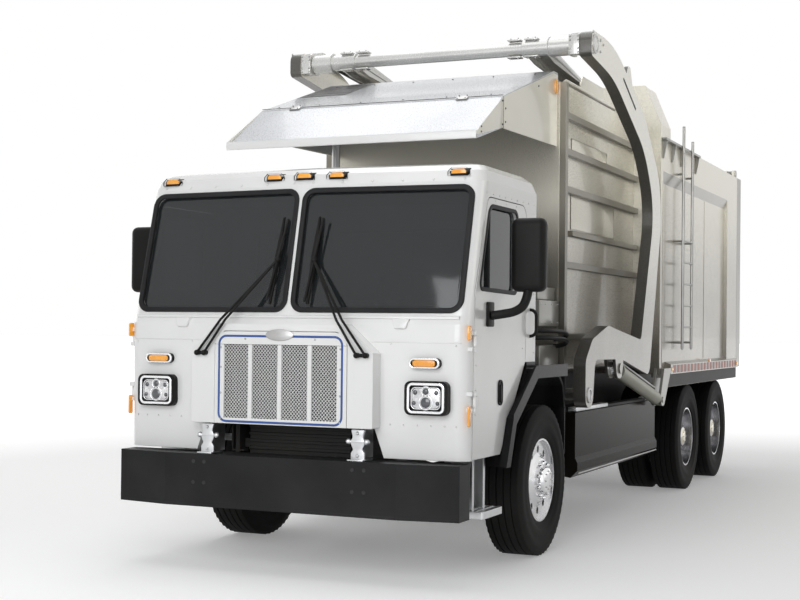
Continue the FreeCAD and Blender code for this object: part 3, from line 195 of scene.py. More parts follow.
toneTakes = {
    "Color": (0.8, 0.8, 0.8, 1), "Second": (0.7, 0.7, 0.7, 1), "Dust": (0.45, 0.42, 0.38, 1),
    "Stretch": (1, 1, 1), "Scale": 2.0, "Fine": 60.0, "Low": 0.3, "High": 0.45, "DustAmount": 0.2, "DustTop": 1.0,
    # painted reflection and light: the lighter colour higher up, and the heights where it starts and ends
    "Upper": (0.8, 0.8, 0.8, 1), "UpperAmount": 0.0, "UpperFrom": 1.4, "UpperTo": 3.2,
    # painted shade: its colour, and how much of it goes on a flat plate's edges and on faces that look down
    "Edge": (0.1, 0.1, 0.1, 1), "EdgeAmount": 0.0, "UnderAmount": 0.0,
}


def makeTone():
    # two colours and two gloss values spread over the surface by soft and fine noise, with dust low down,
    # a painted reflection and light in a lighter colour higher up, and painted shade on faces that look down or, on a
    # flat plate, on its edges
    kinds = {1: "NodeSocketFloat", 3: "NodeSocketVector", 4: "NodeSocketColor"}
    group = bpy.data.node_groups.new("toneAndDust", "ShaderNodeTree")
    for label, value in toneTakes.items():
        size = len(value) if isinstance(value, tuple) else 1
        group.interface.new_socket(label, in_out="INPUT", socket_type=kinds[size]).default_value = value
    for label, size in (("Color", 4), ("Roughness", 1), ("Height", 1)):
        group.interface.new_socket(label, in_out="OUTPUT", socket_type=kinds[size])
    takes = group.nodes.new("NodeGroupInput").outputs
    end = group.nodes.new("NodeGroupOutput")
    place = addNode(group, "TexCoord").outputs
    stretch = addNode(group, "VectorMath")
    stretch.operation = "MULTIPLY"
    feed(group, stretch, {0: place["Object"], 1: takes["Stretch"]})
    spots = {"Vector": stretch.outputs[0]}
    soft = addNode(group, "TexNoise", {**spots, "Scale": takes["Scale"], "Detail": 5}).outputs["Fac"]
    fine = addNode(group, "TexNoise", {**spots, "Scale": takes["Fine"], "Detail": 3}).outputs["Fac"]
    spread = addNode(group, "MapRange", {"From Min": 0.35, "From Max": 0.65, "Value": soft})
    both = blended(group, spread.outputs[0], takes["Color"], takes["Second"])
    height = addNode(group, "SeparateXYZ", {0: place["Object"]}).outputs["Z"]
    # painted reflection and light: the colour turns lighter with height, as if lit and reflecting sky from above
    litTopRise = addNode(group, "MapRange", {"Value": height, "From Min": takes["UpperFrom"], "From Max": takes["UpperTo"]})
    litTopRise.interpolation_type = "SMOOTHSTEP"
    high = calculated(group, "MULTIPLY", litTopRise.outputs[0], takes["UpperAmount"])
    raised = blended(group, high, both, takes["Upper"])
    # painted shade: faces not turned sideways (the edges of a flat plate) and faces that look down are darkened
    # towards the shade colour
    normal = addNode(group, "SeparateXYZ", {0: place["Normal"]}).outputs
    across = calculated(group, "LESS_THAN", calculated(group, "ABSOLUTE", normal["Y"]), 0.5)
    edgeShaded = blended(group, calculated(group, "MULTIPLY", across, takes["EdgeAmount"]), raised, takes["Edge"])
    down = calculated(group, "GREATER_THAN", calculated(group, "MULTIPLY", normal["Z"], -1.0), 0.3)
    underShaded = blended(group, calculated(group, "MULTIPLY", down, takes["UnderAmount"]), edgeShaded, takes["Edge"])
    fall = addNode(group, "MapRange", {"Value": height, "From Min": takes["DustTop"], "From Max": 0.1})
    patchy = calculated(group, "MULTIPLY", fall.outputs[0], soft)
    dusty = blended(group, calculated(group, "MULTIPLY", patchy, takes["DustAmount"]), underShaded, takes["Dust"])
    gloss = addNode(group, "MapRange", {"Value": fine, "To Min": takes["Low"], "To Max": takes["High"]})
    feed(group, end, {"Color": dusty, "Roughness": gloss.outputs[0], "Height": fine})
    return group


tone = makeTone()

# each finish: slot, colour, second colour, roughness from and to, fine noise, bump, dust, then what only some
# have, under the names of the tone group's and the shader's inputs
finishes = {
    "cabPaint": ("cab_white", (0.83, 0.83, 0.82), (0.79, 0.79, 0.78), 0.2, 0.3, 220, 0.02, 0.1,
     {"Coat Weight": 0.5, "Coat Roughness": 0.08}),
    # painted reflection and shade: the dark grey-brown below and the cream higher up stand in for reflected treeline
    # and sky on a pale body, and faces that look down are darkened
    "bodyPaint": ("body_silver", (0.40, 0.375, 0.325), (0.30, 0.28, 0.24), 0.22, 0.34, 160, 0.03, 0.25,
     {"Scale": 0.7, "Stretch": (1, 1, 2.2), "Metallic": 0.5, "Coat Weight": 0.3, "Upper": (0.74, 0.71, 0.61, 1),
      "UpperAmount": 1, "UpperFrom": 1.6, "UpperTo": 3.3, "Edge": (0.12, 0.11, 0.095, 1), "UnderAmount": 0.8}),
    # painted light and shade: the white arms are grey low down and cream higher up as if lit from above, and their
    # plate edges are painted dark as shade
    "armPaint": ("arm_white", (0.42, 0.405, 0.37), (0.34, 0.325, 0.295), 0.22, 0.36, 140, 0.03, 0.15,
     {"Metallic": 0.2, "Coat Weight": 0.3, "Upper": (0.9, 0.88, 0.8, 1), "UpperAmount": 1, "UpperFrom": 1.4,
      "UpperTo": 2.6, "Edge": (0.06, 0.057, 0.05, 1), "EdgeAmount": 0.95}),
    "chassisBlack": ("chassis_black", (0.011, 0.011, 0.012), (0.02, 0.019, 0.018), 0.4, 0.6, 90, 0.08, 0.1,
     {"Specular IOR Level": 0.2}),
    "bumperPaint": ("bumper_charcoal", (0.014, 0.014, 0.015), (0.022, 0.022, 0.023), 0.34, 0.46, 320, 0.1, 0.04,
     {"Specular IOR Level": 0.1}),
    "flarePlastic": ("black_plastic", (0.009, 0.009, 0.0095), (0.015, 0.015, 0.0155), 0.2, 0.34, 400, 0.05, 0.03,
     {"Specular IOR Level": 0.08}),
    "skirtPaint": ("chassis_black", (0.010, 0.008, 0.006), (0.016, 0.013, 0.010), 0.14, 0.26, 120, 0.03, 0.03,
     {"Scale": 1.2, "Specular IOR Level": 0.03}),
    "tyreRubber": ("tyre", (0.0085, 0.0085, 0.0088), (0.014, 0.0138, 0.0135), 0.55, 0.75, 180, 0.15, 0.04,
     {"Specular IOR Level": 0.07}),
    "rimAlloy": ("polished", (0.74, 0.74, 0.75), (0.64, 0.64, 0.66), 0.12, 0.26, 120, 0.03, 0.12, {"Metallic": 1.0}),
    "chrome": ("polished", (0.86, 0.86, 0.87), (0.78, 0.79, 0.8), 0.04, 0.1, 60, 0.01, 0.0, {"Metallic": 1.0}),
    "stepAlloy": ("aluminium", (0.62, 0.63, 0.64), (0.5, 0.51, 0.52), 0.28, 0.45, 260, 0.06, 0.3,
     {"Stretch": (1, 6, 1), "Metallic": 1.0}),
    "steel": ("steel", (0.5, 0.5, 0.5), (0.38, 0.375, 0.37), 0.25, 0.45, 150, 0.05, 0.2, {"Metallic": 1.0}),
    "blackPlastic": ("black_plastic", (0.009, 0.0085, 0.008), (0.015, 0.014, 0.0135), 0.35, 0.5, 420, 0.06, 0.05,
     {"Specular IOR Level": 0.1}),
    "seatCloth": ("seat", (0.06, 0.06, 0.065), (0.1, 0.1, 0.105), 0.7, 0.9, 500, 0.25, 0.0),
    "redLens": ("amber", (0.55, 0.02, 0.015), (0.42, 0.015, 0.01), 0.08, 0.18, 90, 0.05, 0.0,
     {"Scale": 12, "Coat Weight": 0.8}),
    "darkLens": ("lamp", (0.03, 0.035, 0.042), (0.06, 0.066, 0.075), 0.03, 0.08, 90, 0.01, 0.0,
     {"Scale": 20, "Coat Weight": 1.0}),
    "rubberSeal": ("black_plastic", (0.016, 0.016, 0.017), (0.028, 0.028, 0.029), 0.38, 0.55, 300, 0.05, 0.02,
     {"Specular IOR Level": 0.1}),
    "hoseRubber": ("black_plastic", (0.014, 0.014, 0.015), (0.024, 0.023, 0.022), 0.34, 0.5, 260, 0.06, 0.05,
     {"Specular IOR Level": 0.15}),
    # painted shade in holes and slots; the same dark on the canopy's joints
    "darkVoid": ("chassis_black", (0.012, 0.012, 0.013), (0.02, 0.02, 0.021), 0.6, 0.8, 200, 0.05, 0.0),
    "blueLine": ("cab_white", (0.02, 0.07, 0.27), (0.03, 0.09, 0.33), 0.25, 0.4, 200, 0.02, 0.05),
    "mirrorGlass": ("polished", (0.86, 0.87, 0.88), (0.82, 0.83, 0.85), 0.02, 0.05, 40, 0.005, 0.0, {"Metallic": 1.0}),
    "tapeRed": ("body_silver", (0.42, 0.09, 0.045), (0.33, 0.07, 0.04), 0.3, 0.45, 500, 0.06, 0.2),
    "tapeWhite": ("body_silver", (0.72, 0.71, 0.68), (0.63, 0.62, 0.59), 0.3, 0.45, 500, 0.06, 0.2),
    "hubTan": ("steel", (0.78, 0.74, 0.62), (0.66, 0.62, 0.5), 0.1, 0.22, 120, 0.03, 0.15, {"Metallic": 1.0}),
    "oliveSteel": ("steel", (0.33, 0.33, 0.27), (0.26, 0.26, 0.21), 0.3, 0.48, 140, 0.05, 0.3, {"Metallic": 0.35}),
    # painted shade: faces that look down are darkened
    "canopyPaint": ("body_silver", (0.56, 0.575, 0.60), (0.48, 0.495, 0.52), 0.22, 0.34, 150, 0.03, 0.1,
     {"Metallic": 0.35, "Coat Weight": 0.3, "Edge": (0.3, 0.3, 0.3, 1), "UnderAmount": 0.7}),
    "cheekPaint": ("cab_white", (0.90, 0.88, 0.78), (0.86, 0.84, 0.74), 0.26, 0.38, 150, 0.03, 0.08,
     {"Coat Weight": 0.3}),
    "lampBowl": ("polished", (0.7, 0.7, 0.71), (0.5, 0.5, 0.51), 0.12, 0.3, 70, 0.3, 0.0,
     {"Scale": 30, "Metallic": 0.9}),
    # painted shade: a darker copy of the body's paint for the ribs, shelf and band, lighter higher up as painted
    # reflection, and darker still on faces that look down
    "ribPaint": ("body_silver", (0.20, 0.185, 0.155), (0.15, 0.14, 0.115), 0.26, 0.4, 140, 0.04, 0.2,
     {"Metallic": 0.4, "Upper": (0.30, 0.28, 0.235, 1), "UpperAmount": 1, "UpperFrom": 1.6, "UpperTo": 3.3,
      "Edge": (0.07, 0.064, 0.053, 1), "UnderAmount": 0.8}),
    "whiteStrip": ("cab_white", (0.88, 0.88, 0.87), (0.84, 0.84, 0.83), 0.25, 0.36, 200, 0.02, 0.05,
     {"Coat Weight": 0.3}),
    # painted shade: faces that look down are a little darker
    "tubePaint": ("arm_white", (0.74, 0.74, 0.72), (0.64, 0.64, 0.62), 0.2, 0.32, 150, 0.03, 0.05,
     {"Metallic": 0.35, "Coat Weight": 0.3, "Edge": (0.2, 0.195, 0.18, 1), "UnderAmount": 0.2}),
    # painted shade: faces that look down are darkened
    "supportPaint": ("arm_white", (0.36, 0.355, 0.33), (0.28, 0.275, 0.255), 0.24, 0.4, 140, 0.04, 0.25,
     {"Metallic": 0.4, "Coat Weight": 0.2, "Edge": (0.1, 0.1, 0.09, 1), "UnderAmount": 0.7}),
    # painted shade: the dark of the sheets behind the grille's and the canopy's mesh
    "grilleBack": ("chassis_black", (0.06, 0.06, 0.062), (0.09, 0.09, 0.092), 0.5, 0.7, 200, 0.05, 0.0),
    "amberLens": ("amber", (0.95, 0.42, 0.03), (0.85, 0.32, 0.02), 0.08, 0.18, 90, 0.05, 0.0,
     {"Scale": 12, "Coat Weight": 0.8, "Emission Color": (1.0, 0.42, 0.05, 1), "Emission Strength": 0.12}),
}
relief = {"depth": 0.004, "rounding": 0.006}


def makeFinish(name, slot, color, second, low, high, fine, bump, dust, more=None):
    paint, tree, shader = newPaint(name)
    toned = addNode(tree, "Group")
    toned.node_tree = tone
    feed(tree, toned, {
        "Color": (*color, 1), "Second": (*second, 1), "Low": low, "High": high, "Fine": fine, "DustAmount": dust,
    })
    soften = addNode(tree, "Bevel", {"Radius": relief["rounding"]})
    soften.samples = 4
    raised = addNode(tree, "Bump", {
        "Strength": bump, "Distance": relief["depth"], "Height": toned.outputs["Height"],
        "Normal": soften.outputs[0],
    })
    feed(tree, shader, {
        "Base Color": toned.outputs["Color"], "Roughness": toned.outputs["Roughness"], "Normal": raised.outputs[0],
    })
    for key, value in (more or {}).items():
        feed(tree, toned if key in toneTakes else shader, {key: value})
    return paint


glass = {"tint": (0.075, 0.085, 0.09), "darker": 0.85, "roughness": (0.02, 0.07), "clear": 0.75, "bend": 1.45}


def makeGlass(name):
    paint, tree, shader = newPaint(name)
    place = addNode(tree, "TexCoord").outputs["Object"]
    noise = addNode(tree, "TexNoise", {"Scale": 3, "Vector": place}).outputs["Fac"]
    dark = [value * glass["darker"] for value in glass["tint"]]
    low, high = glass["roughness"]
    feed(tree, shader, {
        "Transmission Weight": glass["clear"], "IOR": glass["bend"],
        "Base Color": blended(tree, noise, (*glass["tint"], 1), (*dark, 1)),
        "Roughness": addNode(tree, "MapRange", {"Value": noise, "To Min": low, "To Max": high}).outputs[0],
    })
    return paint


paints = {name: makeFinish(name, *look) for name, look in finishes.items()}
paints["tintedGlass"] = makeGlass("tintedGlass")

# which finish each CAD node wears
wears = {
    "cabPaint": ("cab_shell", "grille_surround", "grille", "door_left", "door_right"),
    "bodyPaint": ("packer_body", "hopper", "sill_shelves"),
    # painted shade: the ribs wear the darker copy of the body's paint
    "ribPaint": ("hopper_ribs",),
    "armPaint": ("lift_arms",),
    "supportPaint": ("ladder", "arm_supports", "tailgate"),
    "tubePaint": ("fork_frame",),
    "oliveSteel": ("lift_barrels",),
    "canopyPaint": ("canopy",),
    "chassisBlack": (
        "frame_rails", "engine_and_radiator", "cab_mounts", "front_axle", "rear_axles", "body_runners",
        "knuckle_left", "knuckle_right", "fork_barrels",
    ),
    "bumperPaint": ("bumper",),
    "flarePlastic": ("fender_flares",),
    "skirtPaint": ("side_skirts",),
    "stepAlloy": ("cab_steps",),
    "steel": ("tow_brackets", "packer_blade"),
    "chrome": ("lift_rods", "fork_rods"),
    "blackPlastic": ("wipers", "mirror_left", "mirror_right", "headlamps", "turn_signals", "roof_lamps"),
    "seatCloth": ("cab_interior",),
    "tintedGlass": ("cab_glass", "door_glass_left", "door_glass_right"),
}
for finish, word in (("tyreRubber", "tyre"), ("rimAlloy", "rim")):
    wears[finish] = tuple(name for name in nodes if word in name)
for finish, names in wears.items():
    for name in names:
        for place in nodes[name].material_slots:
            place.material = paints[finish]
bare = set(nodes) - {name for names in wears.values() for name in names}
print("finishes on the frame; left bare:", sorted(bare))

# ---- helpers for new pieces


def rounded(bm, geom, offset, segments=2, affect="EDGES", clamp=False):
    bmesh.ops.bevel(
        bm, geom=geom, offset=offset, segments=segments, profile=0.5, affect=affect, material=-1, clamp_overlap=clamp
    )


def grown(bm, faces, vec):
    # the faces extruded along a vector; gives the vertices that moved
    new = bmesh.ops.extrude_face_region(bm, geom=faces)
    far = [item for item in new["geom"] if isinstance(item, bmesh.types.BMVert)]
    bmesh.ops.translate(bm, verts=far, vec=vec)
    return far


def outlinePlate(corners, thick, radius=0.0, width=0.0, edge=0.0, curve=5):
    # a flat plate in u, v with its thickness along w; with a width it is a ring
    bm = bmesh.new()
    bm.faces.new([bm.verts.new((u, v, 0)) for u, v in corners])
    if radius:
        rounded(bm, list(bm.verts), radius, curve, "VERTICES")
    if width:
        whole = list(bm.faces)
        bmesh.ops.inset_region(bm, faces=whole, thickness=width, use_even_offset=True, use_boundary=True)
        bmesh.ops.delete(bm, geom=whole, context="FACES_ONLY")
    far = grown(bm, list(bm.faces), (0, 0, thick))
    if edge:
        rim = [e for e in bm.edges if all(vert in far for vert in e.verts) and e.calc_face_angle(0) > 0.9]
        rounded(bm, rim, edge, clamp=True)
    return bm


def pierced(bm, web):
    # every face becomes a hole within a thin frame
    cells = list(bm.faces)
    bmesh.ops.inset_individual(bm, faces=cells, thickness=web, use_even_offset=True)
    bmesh.ops.delete(bm, geom=cells, context="FACES_ONLY")


def rect(u0, u1, v0, v1):
    return [(u0, v0), (u1, v0), (u1, v1), (u0, v1)]


def aroundPoint(u, v, wide, tall):
    return rect(u - wide, u + wide, v - tall, v + tall)


def block(low, high, edge=0.0, segments=2):
    bm = bmesh.new()
    bmesh.ops.create_cube(bm, size=1)
    for vert in bm.verts:
        vert.co = [low[i] + (vert.co[i] + 0.5) * (high[i] - low[i]) for i in range(3)]
    if edge:
        rounded(bm, list(bm.edges), edge, segments)
    return bm


def lathed(profile, steps=24):
    # a profile of (radius, height) pairs spun about w
    bm = bmesh.new()
    chain = [bm.verts.new((r, 0, h)) for r, h in profile]
    edges = [bm.edges.new(pair) for pair in zip(chain, chain[1:])]
    bmesh.ops.spin(
        bm, geom=chain + edges, cent=(0, 0, 0), axis=(0, 0, 1), angle=math.tau, steps=steps, use_merge=True
    )
    bmesh.ops.remove_doubles(bm, verts=list(bm.verts), dist=0.00002)
    return bm


def stud(radius, height, sides=8):
    bm = bmesh.new()
    bmesh.ops.create_cone(
        bm, cap_ends=True, segments=sides, radius1=radius, radius2=radius * 0.55, depth=height
    )
    return shifted(bm, 0, 0, height / 2)


def mapped(bm, where):
    for vert in bm.verts:
        vert.co = where(*vert.co)
    return bm


def forward(bm, x, y=0.0, z=0.0):
    # u runs left, v up, w forward
    return mapped(bm, lambda u, v, w: Vector((x + w, y + u, z + v)))


def backward(bm, x, y=0.0, z=0.0):
    return mapped(bm, lambda u, v, w: Vector((x - w, y + u, z + v)))


def outward(bm, y, x=0.0, z=0.0):
    # u runs forward, v up, w out on the left
    return mapped(bm, lambda u, v, w: Vector((x + u, y + w, z + v)))


def moved(bm, matrix):
    bmesh.ops.transform(bm, matrix=matrix, verts=list(bm.verts))
    return bm


def shifted(bm, *vec):
    bmesh.ops.translate(bm, vec=vec, verts=list(bm.verts))
    return bm


def scaled(bm, *vec):
    bmesh.ops.scale(bm, vec=vec, verts=list(bm.verts))
    return bm


def gathered(parts):
    whole = bmesh.new()
    for part in parts:
        held = bpy.data.meshes.new("held")
        part.to_mesh(held)
        part.free()
        whole.from_mesh(held)
        bpy.data.meshes.remove(held)
    return whole


def flipped(bm, side):
    return scaled(bm, 1, side, 1)


def twin(bm):
    # the same piece on the other side as well
    return gathered((bm, flipped(bm.copy(), -1)))


def addPiece(name, bm, finish, body="chassis", smooth=True, stands=()):
    bmesh.ops.recalc_face_normals(bm, faces=list(bm.faces))
    mesh = bpy.data.meshes.new(name)
    bm.to_mesh(mesh)
    bm.free()
    mesh.materials.append(paints[finish])
    if smooth:
        mesh.shade_smooth()
        mesh.set_sharp_from_angle(angle=math.radians(38))
    item = bpy.data.objects.new(name, mesh)
    bpy.context.collection.objects.link(item)
    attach(item, body)
    if stands:
        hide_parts(*stands)


def addPair(name, parts, finish, body="chassis", **more):
    addPiece(name, twin(gathered(parts)), finish, body, **more)


def addHose(name, points, radius, finish, body="chassis"):
    # a bent pipe or fixed hose through a few points
    data = bpy.data.curves.new(name, "CURVE")
    data.dimensions = "3D"
    data.bevel_depth = radius
    data.bevel_resolution = 3
    data.resolution_u = 8
    data.use_fill_caps = True
    line = data.splines.new("NURBS")
    line.points.add(len(points) - 1)
    for point, place in zip(line.points, points):
        point.co = (*place, 1)
    line.order_u = 3
    line.use_endpoint_u = True
    held = bpy.data.objects.new(name + "Line", data)
    bpy.context.collection.objects.link(held)
    mesh = bpy.data.meshes.new_from_object(held.evaluated_get(bpy.context.evaluated_depsgraph_get()))
    bpy.data.objects.remove(held)
    bm = bmesh.new()
    bm.from_mesh(mesh)
    bpy.data.meshes.remove(mesh)
    addPiece(name, bm, finish, body)


sides = ((1, "left"), (-1, "right"))

# ---- cab front

# how the cab's front leans: height, set-back at the middle, extra set-back at the corners
frontLevels = ((0.77, 0.015, 0.035), (1.5, 0.0, 0.035), (1.6, 0.0, 0.037), (1.655, 0.01, 0.05), (2.5, 0.197, 0.08),
               (2.57, 0.235, 0.08))
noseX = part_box("cab_shell")[1][0]
halfWidth = 1.225


def frontX(y, z):
    for (z0, in0, off0), (z1, in1, off1) in zip(frontLevels, frontLevels[1:]):
        if z <= z1 or z1 == frontLevels[-1][0]:
            share = (z - z0) / (z1 - z0)
            lean = in0 + (in1 - in0) * share
            corner = off0 + (off1 - off0) * share
            return noseX - lean - corner * abs(y) / halfWidth


def onNose(bm, lift=0.0, y=0.0, z=0.0):
    return mapped(bm, lambda u, v, w: Vector((frontX(u + y, v + z) + (w + lift), u + y, v + z)))


nose = {
    "seal": (0.012, 1.178, 1.668, 2.477),
    "rivets": [(0.07 + count * 0.206, 2.512) for count in range(6)],
    "screws": [(0.715 + count * 0.09, 0.98) for count in range(5)] + [(1.15, 0.98), (0.72, 1.478), (1.15, 1.47)],
    "tab": [(0.75, 1.572), (0.823, 1.572), (0.844, 1.633), (0.729, 1.633)],
}
ring = outlinePlate(rect(*nose["seal"]), 0.02, radius=0.085, width=0.034, edge=0.006, curve=8)
addPair("windshieldSeals", [onNose(ring, -0.007)], "rubberSeal")
heads = [onNose(stud(0.0085, 0.005), 0, y, z) for y, z in nose["rivets"]]
heads += [onNose(stud(0.006, 0.004), 0, y, z) for y, z in nose["screws"]]
addPair("frontRivets", heads, "cabPaint")
for name, corners, thick, radius, edge, lift in (
    ("frontLedge", rect(0.0, 1.165, 1.632, 1.65), 0.016, 0.0, 0.005, -0.002),
    ("frontFold", rect(0.46, 1.18, 1.485, 1.492), 0.003, 0.0, 0.0012, -0.001),
    ("frontTabs", nose["tab"], 0.026, 0.008, 0.005, -0.001),
):
    addPair(name, [onNose(outlinePlate(corners, thick, radius, edge=edge), lift)], "cabPaint")

# ---- grille, badge plate and lamps

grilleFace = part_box("grille")[1][0]
grille = {
    "half": 0.473,
    "low": 0.955,
    "top": [(0.473, 1.46), (0.462, 1.505), (0.435, 1.532), (0.39, 1.545)],
    "openings": ((0.0145, 0.199), (0.228, 0.405)),
    "openLow": 0.992,
    "openHigh": 1.462,
    "thick": 0.014,
    "line": (-0.448, 0.448, 0.962, 1.522),
    "screws": ((0.428, 0.985), (0.428, 1.15), (0.428, 1.315), (0.428, 1.44), (0.25, 1.497)),
    "badge": (0.1, 0.0375, 1.5235),
    "pitch": (0.0225, 0.0245),
    "web": 0.0032,
    "lap": 0.004,
}


def grilleFront():
    # the face with its four openings, then its rim turned back
    bm = bmesh.new()
    edges = [value for pair in grille["openings"] for value in pair]
    across = [-grille["half"]] + [-value for value in reversed(edges)] + edges + [grille["half"]]
    rows = [[bm.verts.new((u, v, 0)) for u in across] for v in (grille["low"], grille["openLow"], grille["openHigh"])]
    for row, (lower, upper) in enumerate(zip(rows, rows[1:])):
        for count in range(len(across) - 1):
            if row == 0 or count % 2 == 0:
                bm.faces.new((lower[count], lower[count + 1], upper[count + 1], upper[count]))
    right = [bm.verts.new((u, v, 0)) for u, v in grille["top"]]
    left = [bm.verts.new((-u, v, 0)) for u, v in reversed(grille["top"])]
    bm.faces.new(rows[2] + right + left)
    grown(bm, list(bm.faces), (0, 0, -grille["thick"]))
    return bm


def grilleMesh(u0, u1):
    # a staggered mesh of diamond holes, cut to its opening
    pitchU, pitchV = grille["pitch"]
    lap = grille["lap"]
    v0, v1 = grille["openLow"] - lap, grille["openHigh"] + lap
    bm = bmesh.new()
    count = 30
    bmesh.ops.create_grid(bm, x_segments=count, y_segments=count, size=count * 0.5)
    bmesh.ops.rotate(bm, cent=(0, 0, 0), matrix=Matrix.Rotation(math.pi / 4, 3, "Z"), verts=list(bm.verts))
    scaled(bm, pitchU / math.sqrt(2), pitchV / math.sqrt(2), 1)
    shifted(bm, (u0 + u1) / 2, (v0 + v1) / 2, 0)
    for place, normal in (((u0 - lap, 0, 0), (-1, 0, 0)), ((u1 + lap, 0, 0), (1, 0, 0)),
                          ((0, v0, 0), (0, -1, 0)), ((0, v1, 0), (0, 1, 0))):
        whole = list(bm.verts) + list(bm.edges) + list(bm.faces)
        bmesh.ops.bisect_plane(bm, geom=whole, plane_co=place, plane_no=normal, clear_outer=True)
    pierced(bm, grille["web"] / 2)
    grown(bm, list(bm.faces), (0, 0, -0.004))
    return forward(bm, grilleFace - 0.004)


def badgePlate():
    wide, tall, height = grille["badge"]
    bm = bmesh.new()
    bmesh.ops.create_circle(bm, cap_ends=True, segments=40, radius=1)
    scaled(bm, wide, tall, 1)
    grown(bm, list(bm.faces), (0, 0, 0.006))
    rounded(bm, [e for e in bm.edges if all(v.co.z > 0.005 for v in e.verts)], 0.003)
    return forward(bm, grilleFace, 0, height)


addPiece("grilleFront", forward(grilleFront(), grilleFace), "cabPaint", stands=("grille",))
addPair("grilleMesh", [grilleMesh(*opening) for opening in grille["openings"]], "whiteStrip", smooth=False)
# painted shade: a dark sheet behind the grille's openings
back = outlinePlate(rect(-0.43, 0.43, 0.965, 1.49), 0.002)
addPiece("grilleBack", forward(back, grilleFace - 0.05), "grilleBack")
line = outlinePlate(rect(*grille["line"]), 0.0015, radius=0.06, width=0.014, curve=8)
addPiece("grilleLine", forward(line, grilleFace), "blueLine")
addPair("grilleScrews", [forward(stud(0.0075, 0.004), grilleFace, *at) for at in grille["screws"]], "steel")
addPiece("badgePlate", badgePlate(), "steel")

headlamp = {
    "place": (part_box("headlamps")[1][0] - 0.004, 0.972, 1.15),
    "bezel": (0.124, 0.094),
    "inner": (0.098, 0.068),
    "units": ((0, -0.026, 0.037), (0, 0.042, 0.023), (0.078, -0.03, 0.015), (-0.078, -0.03, 0.015),
              (0.07, 0.035, 0.017), (-0.07, 0.035, 0.017)),
}
lampX, lampY, lampZ = headlamp["place"]
bowl = outlinePlate(aroundPoint(0, 0, 0.09, 0.061), 0.003, radius=0.028, edge=0.001)
addPair("headlampBowls", [forward(bowl, lampX + 0.0005, lampY, lampZ)], "lampBowl")
trims = [
    outlinePlate(aroundPoint(0, 0, *headlamp["bezel"]), 0.01, radius=0.035, width=0.017, edge=0.004),
    outlinePlate(aroundPoint(0, 0, *headlamp["inner"]), 0.006, radius=0.03, width=0.006, edge=0.002),
]
addPair("headlampTrim", [forward(trim, *headlamp["place"]) for trim in trims], "chrome")
domes, rings = [], []
for u, v, r in headlamp["units"]:
    dome = lathed([(r, -0.012), (r, 0), (r * 0.8, 0.006), (r * 0.45, 0.01), (0, 0.012)], 20)
    domes.append(forward(dome, lampX, lampY + u, lampZ + v))
for u, v, r in headlamp["units"][:2]:
    ring = lathed([(r + 0.002, -0.012), (r + 0.004, 0.004), (r + 0.009, 0.004), (r + 0.012, -0.012)], 24)
    rings.append(forward(ring, lampX, lampY + u, lampZ + v))
addPair("headlampLenses", domes, "darkLens")
addPair("headlampRings", rings, "chrome")

signal = {"place": (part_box("turn_signals")[1][0], 0.957, 1.362), "rim": (0.1, 0.032), "lens": (0.076, 0.0205)}
signalX, signalY, signalZ = signal["place"]
wide, tall = signal["rim"]
ring = outlinePlate(aroundPoint(0, 0, wide, tall), 0.012, radius=tall - 0.001, width=0.012, edge=0.004, curve=8)
addPair("turnSignalRims", [forward(ring, signalX - 0.01, signalY, signalZ)], "chrome")
wide, tall = signal["lens"]
ribs = [outlinePlate(aroundPoint(step * 0.014, 0, 0.0025, tall - 0.006), 0.0098) for step in range(-5, 6)]
lens = outlinePlate(aroundPoint(0, 0, wide, tall), 0.008, radius=tall - 0.001, edge=0.005, curve=8)
addPair("turnSignalLenses", [forward(bm, signalX - 0.006, signalY, signalZ) for bm in [lens] + ribs], "amberLens")

marker = {
    "across": (0.0, 0.23, -0.23, 1.055, -1.055),
    "base": [(-0.36, -0.074), (-0.232, -0.074), (-0.204, -0.048), (-0.204, 0.048), (-0.232, 0.074), (-0.36, 0.074)],
    "hood": [(-0.074, 0.0), (0.074, 0.0), (0.074, 0.026), (0.05, 0.05), (-0.05, 0.05), (-0.074, 0.026)],
    "lens": [(-0.05, 0.008), (0.05, 0.008), (0.05, 0.026), (0.036, 0.042), (-0.036, 0.042), (-0.05, 0.026)],
    "z": 2.534,
}
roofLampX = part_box("roof_lamps")[1][0]
bases, hoods, lenses = [], [], []
for y in marker["across"]:
    back = 0.08 * abs(y) / halfWidth
    outline = [(noseX - back + u, y + v) for u, v in marker["base"]]
    bases.append(shifted(outlinePlate(outline, 0.014, edge=0.004), 0, 0, marker["z"] - 0.002))
    face = roofLampX - back - 0.006
    hoods.append(forward(outlinePlate(marker["hood"], 0.012, width=0.011, edge=0.003), face, y, marker["z"]))
    lenses.append(forward(outlinePlate(marker["lens"], 0.012, edge=0.005), face + 0.001, y, marker["z"]))
addPiece("markerLenses", gathered(lenses), "amberLens")
addPiece("markerBases", gathered(bases), "blackPlastic")
addPiece("markerHoods", gathered(hoods), "blackPlastic")

blades = []
for y0, y1 in ((-0.132, -0.1), (0.14, 0.158)):
    low, middle, high = 1.72, 2.02, 2.285
    centre = y0 + (y1 - y0) * (middle - low) / (high - low)
    outline = [(y0 - 0.007, low), (y0 + 0.007, low), (centre + 0.019, middle), (y1 + 0.006, high), (y1 - 0.006, high),
               (centre - 0.019, middle)]
    blades.append(onNose(outlinePlate(outline, 0.016, edge=0.004), 0.012))
addPiece("wiperBlades", gathered(blades), "blackPlastic")
print("cab front: seals, rivets, grille and lamps")

# ---- doors and mirrors

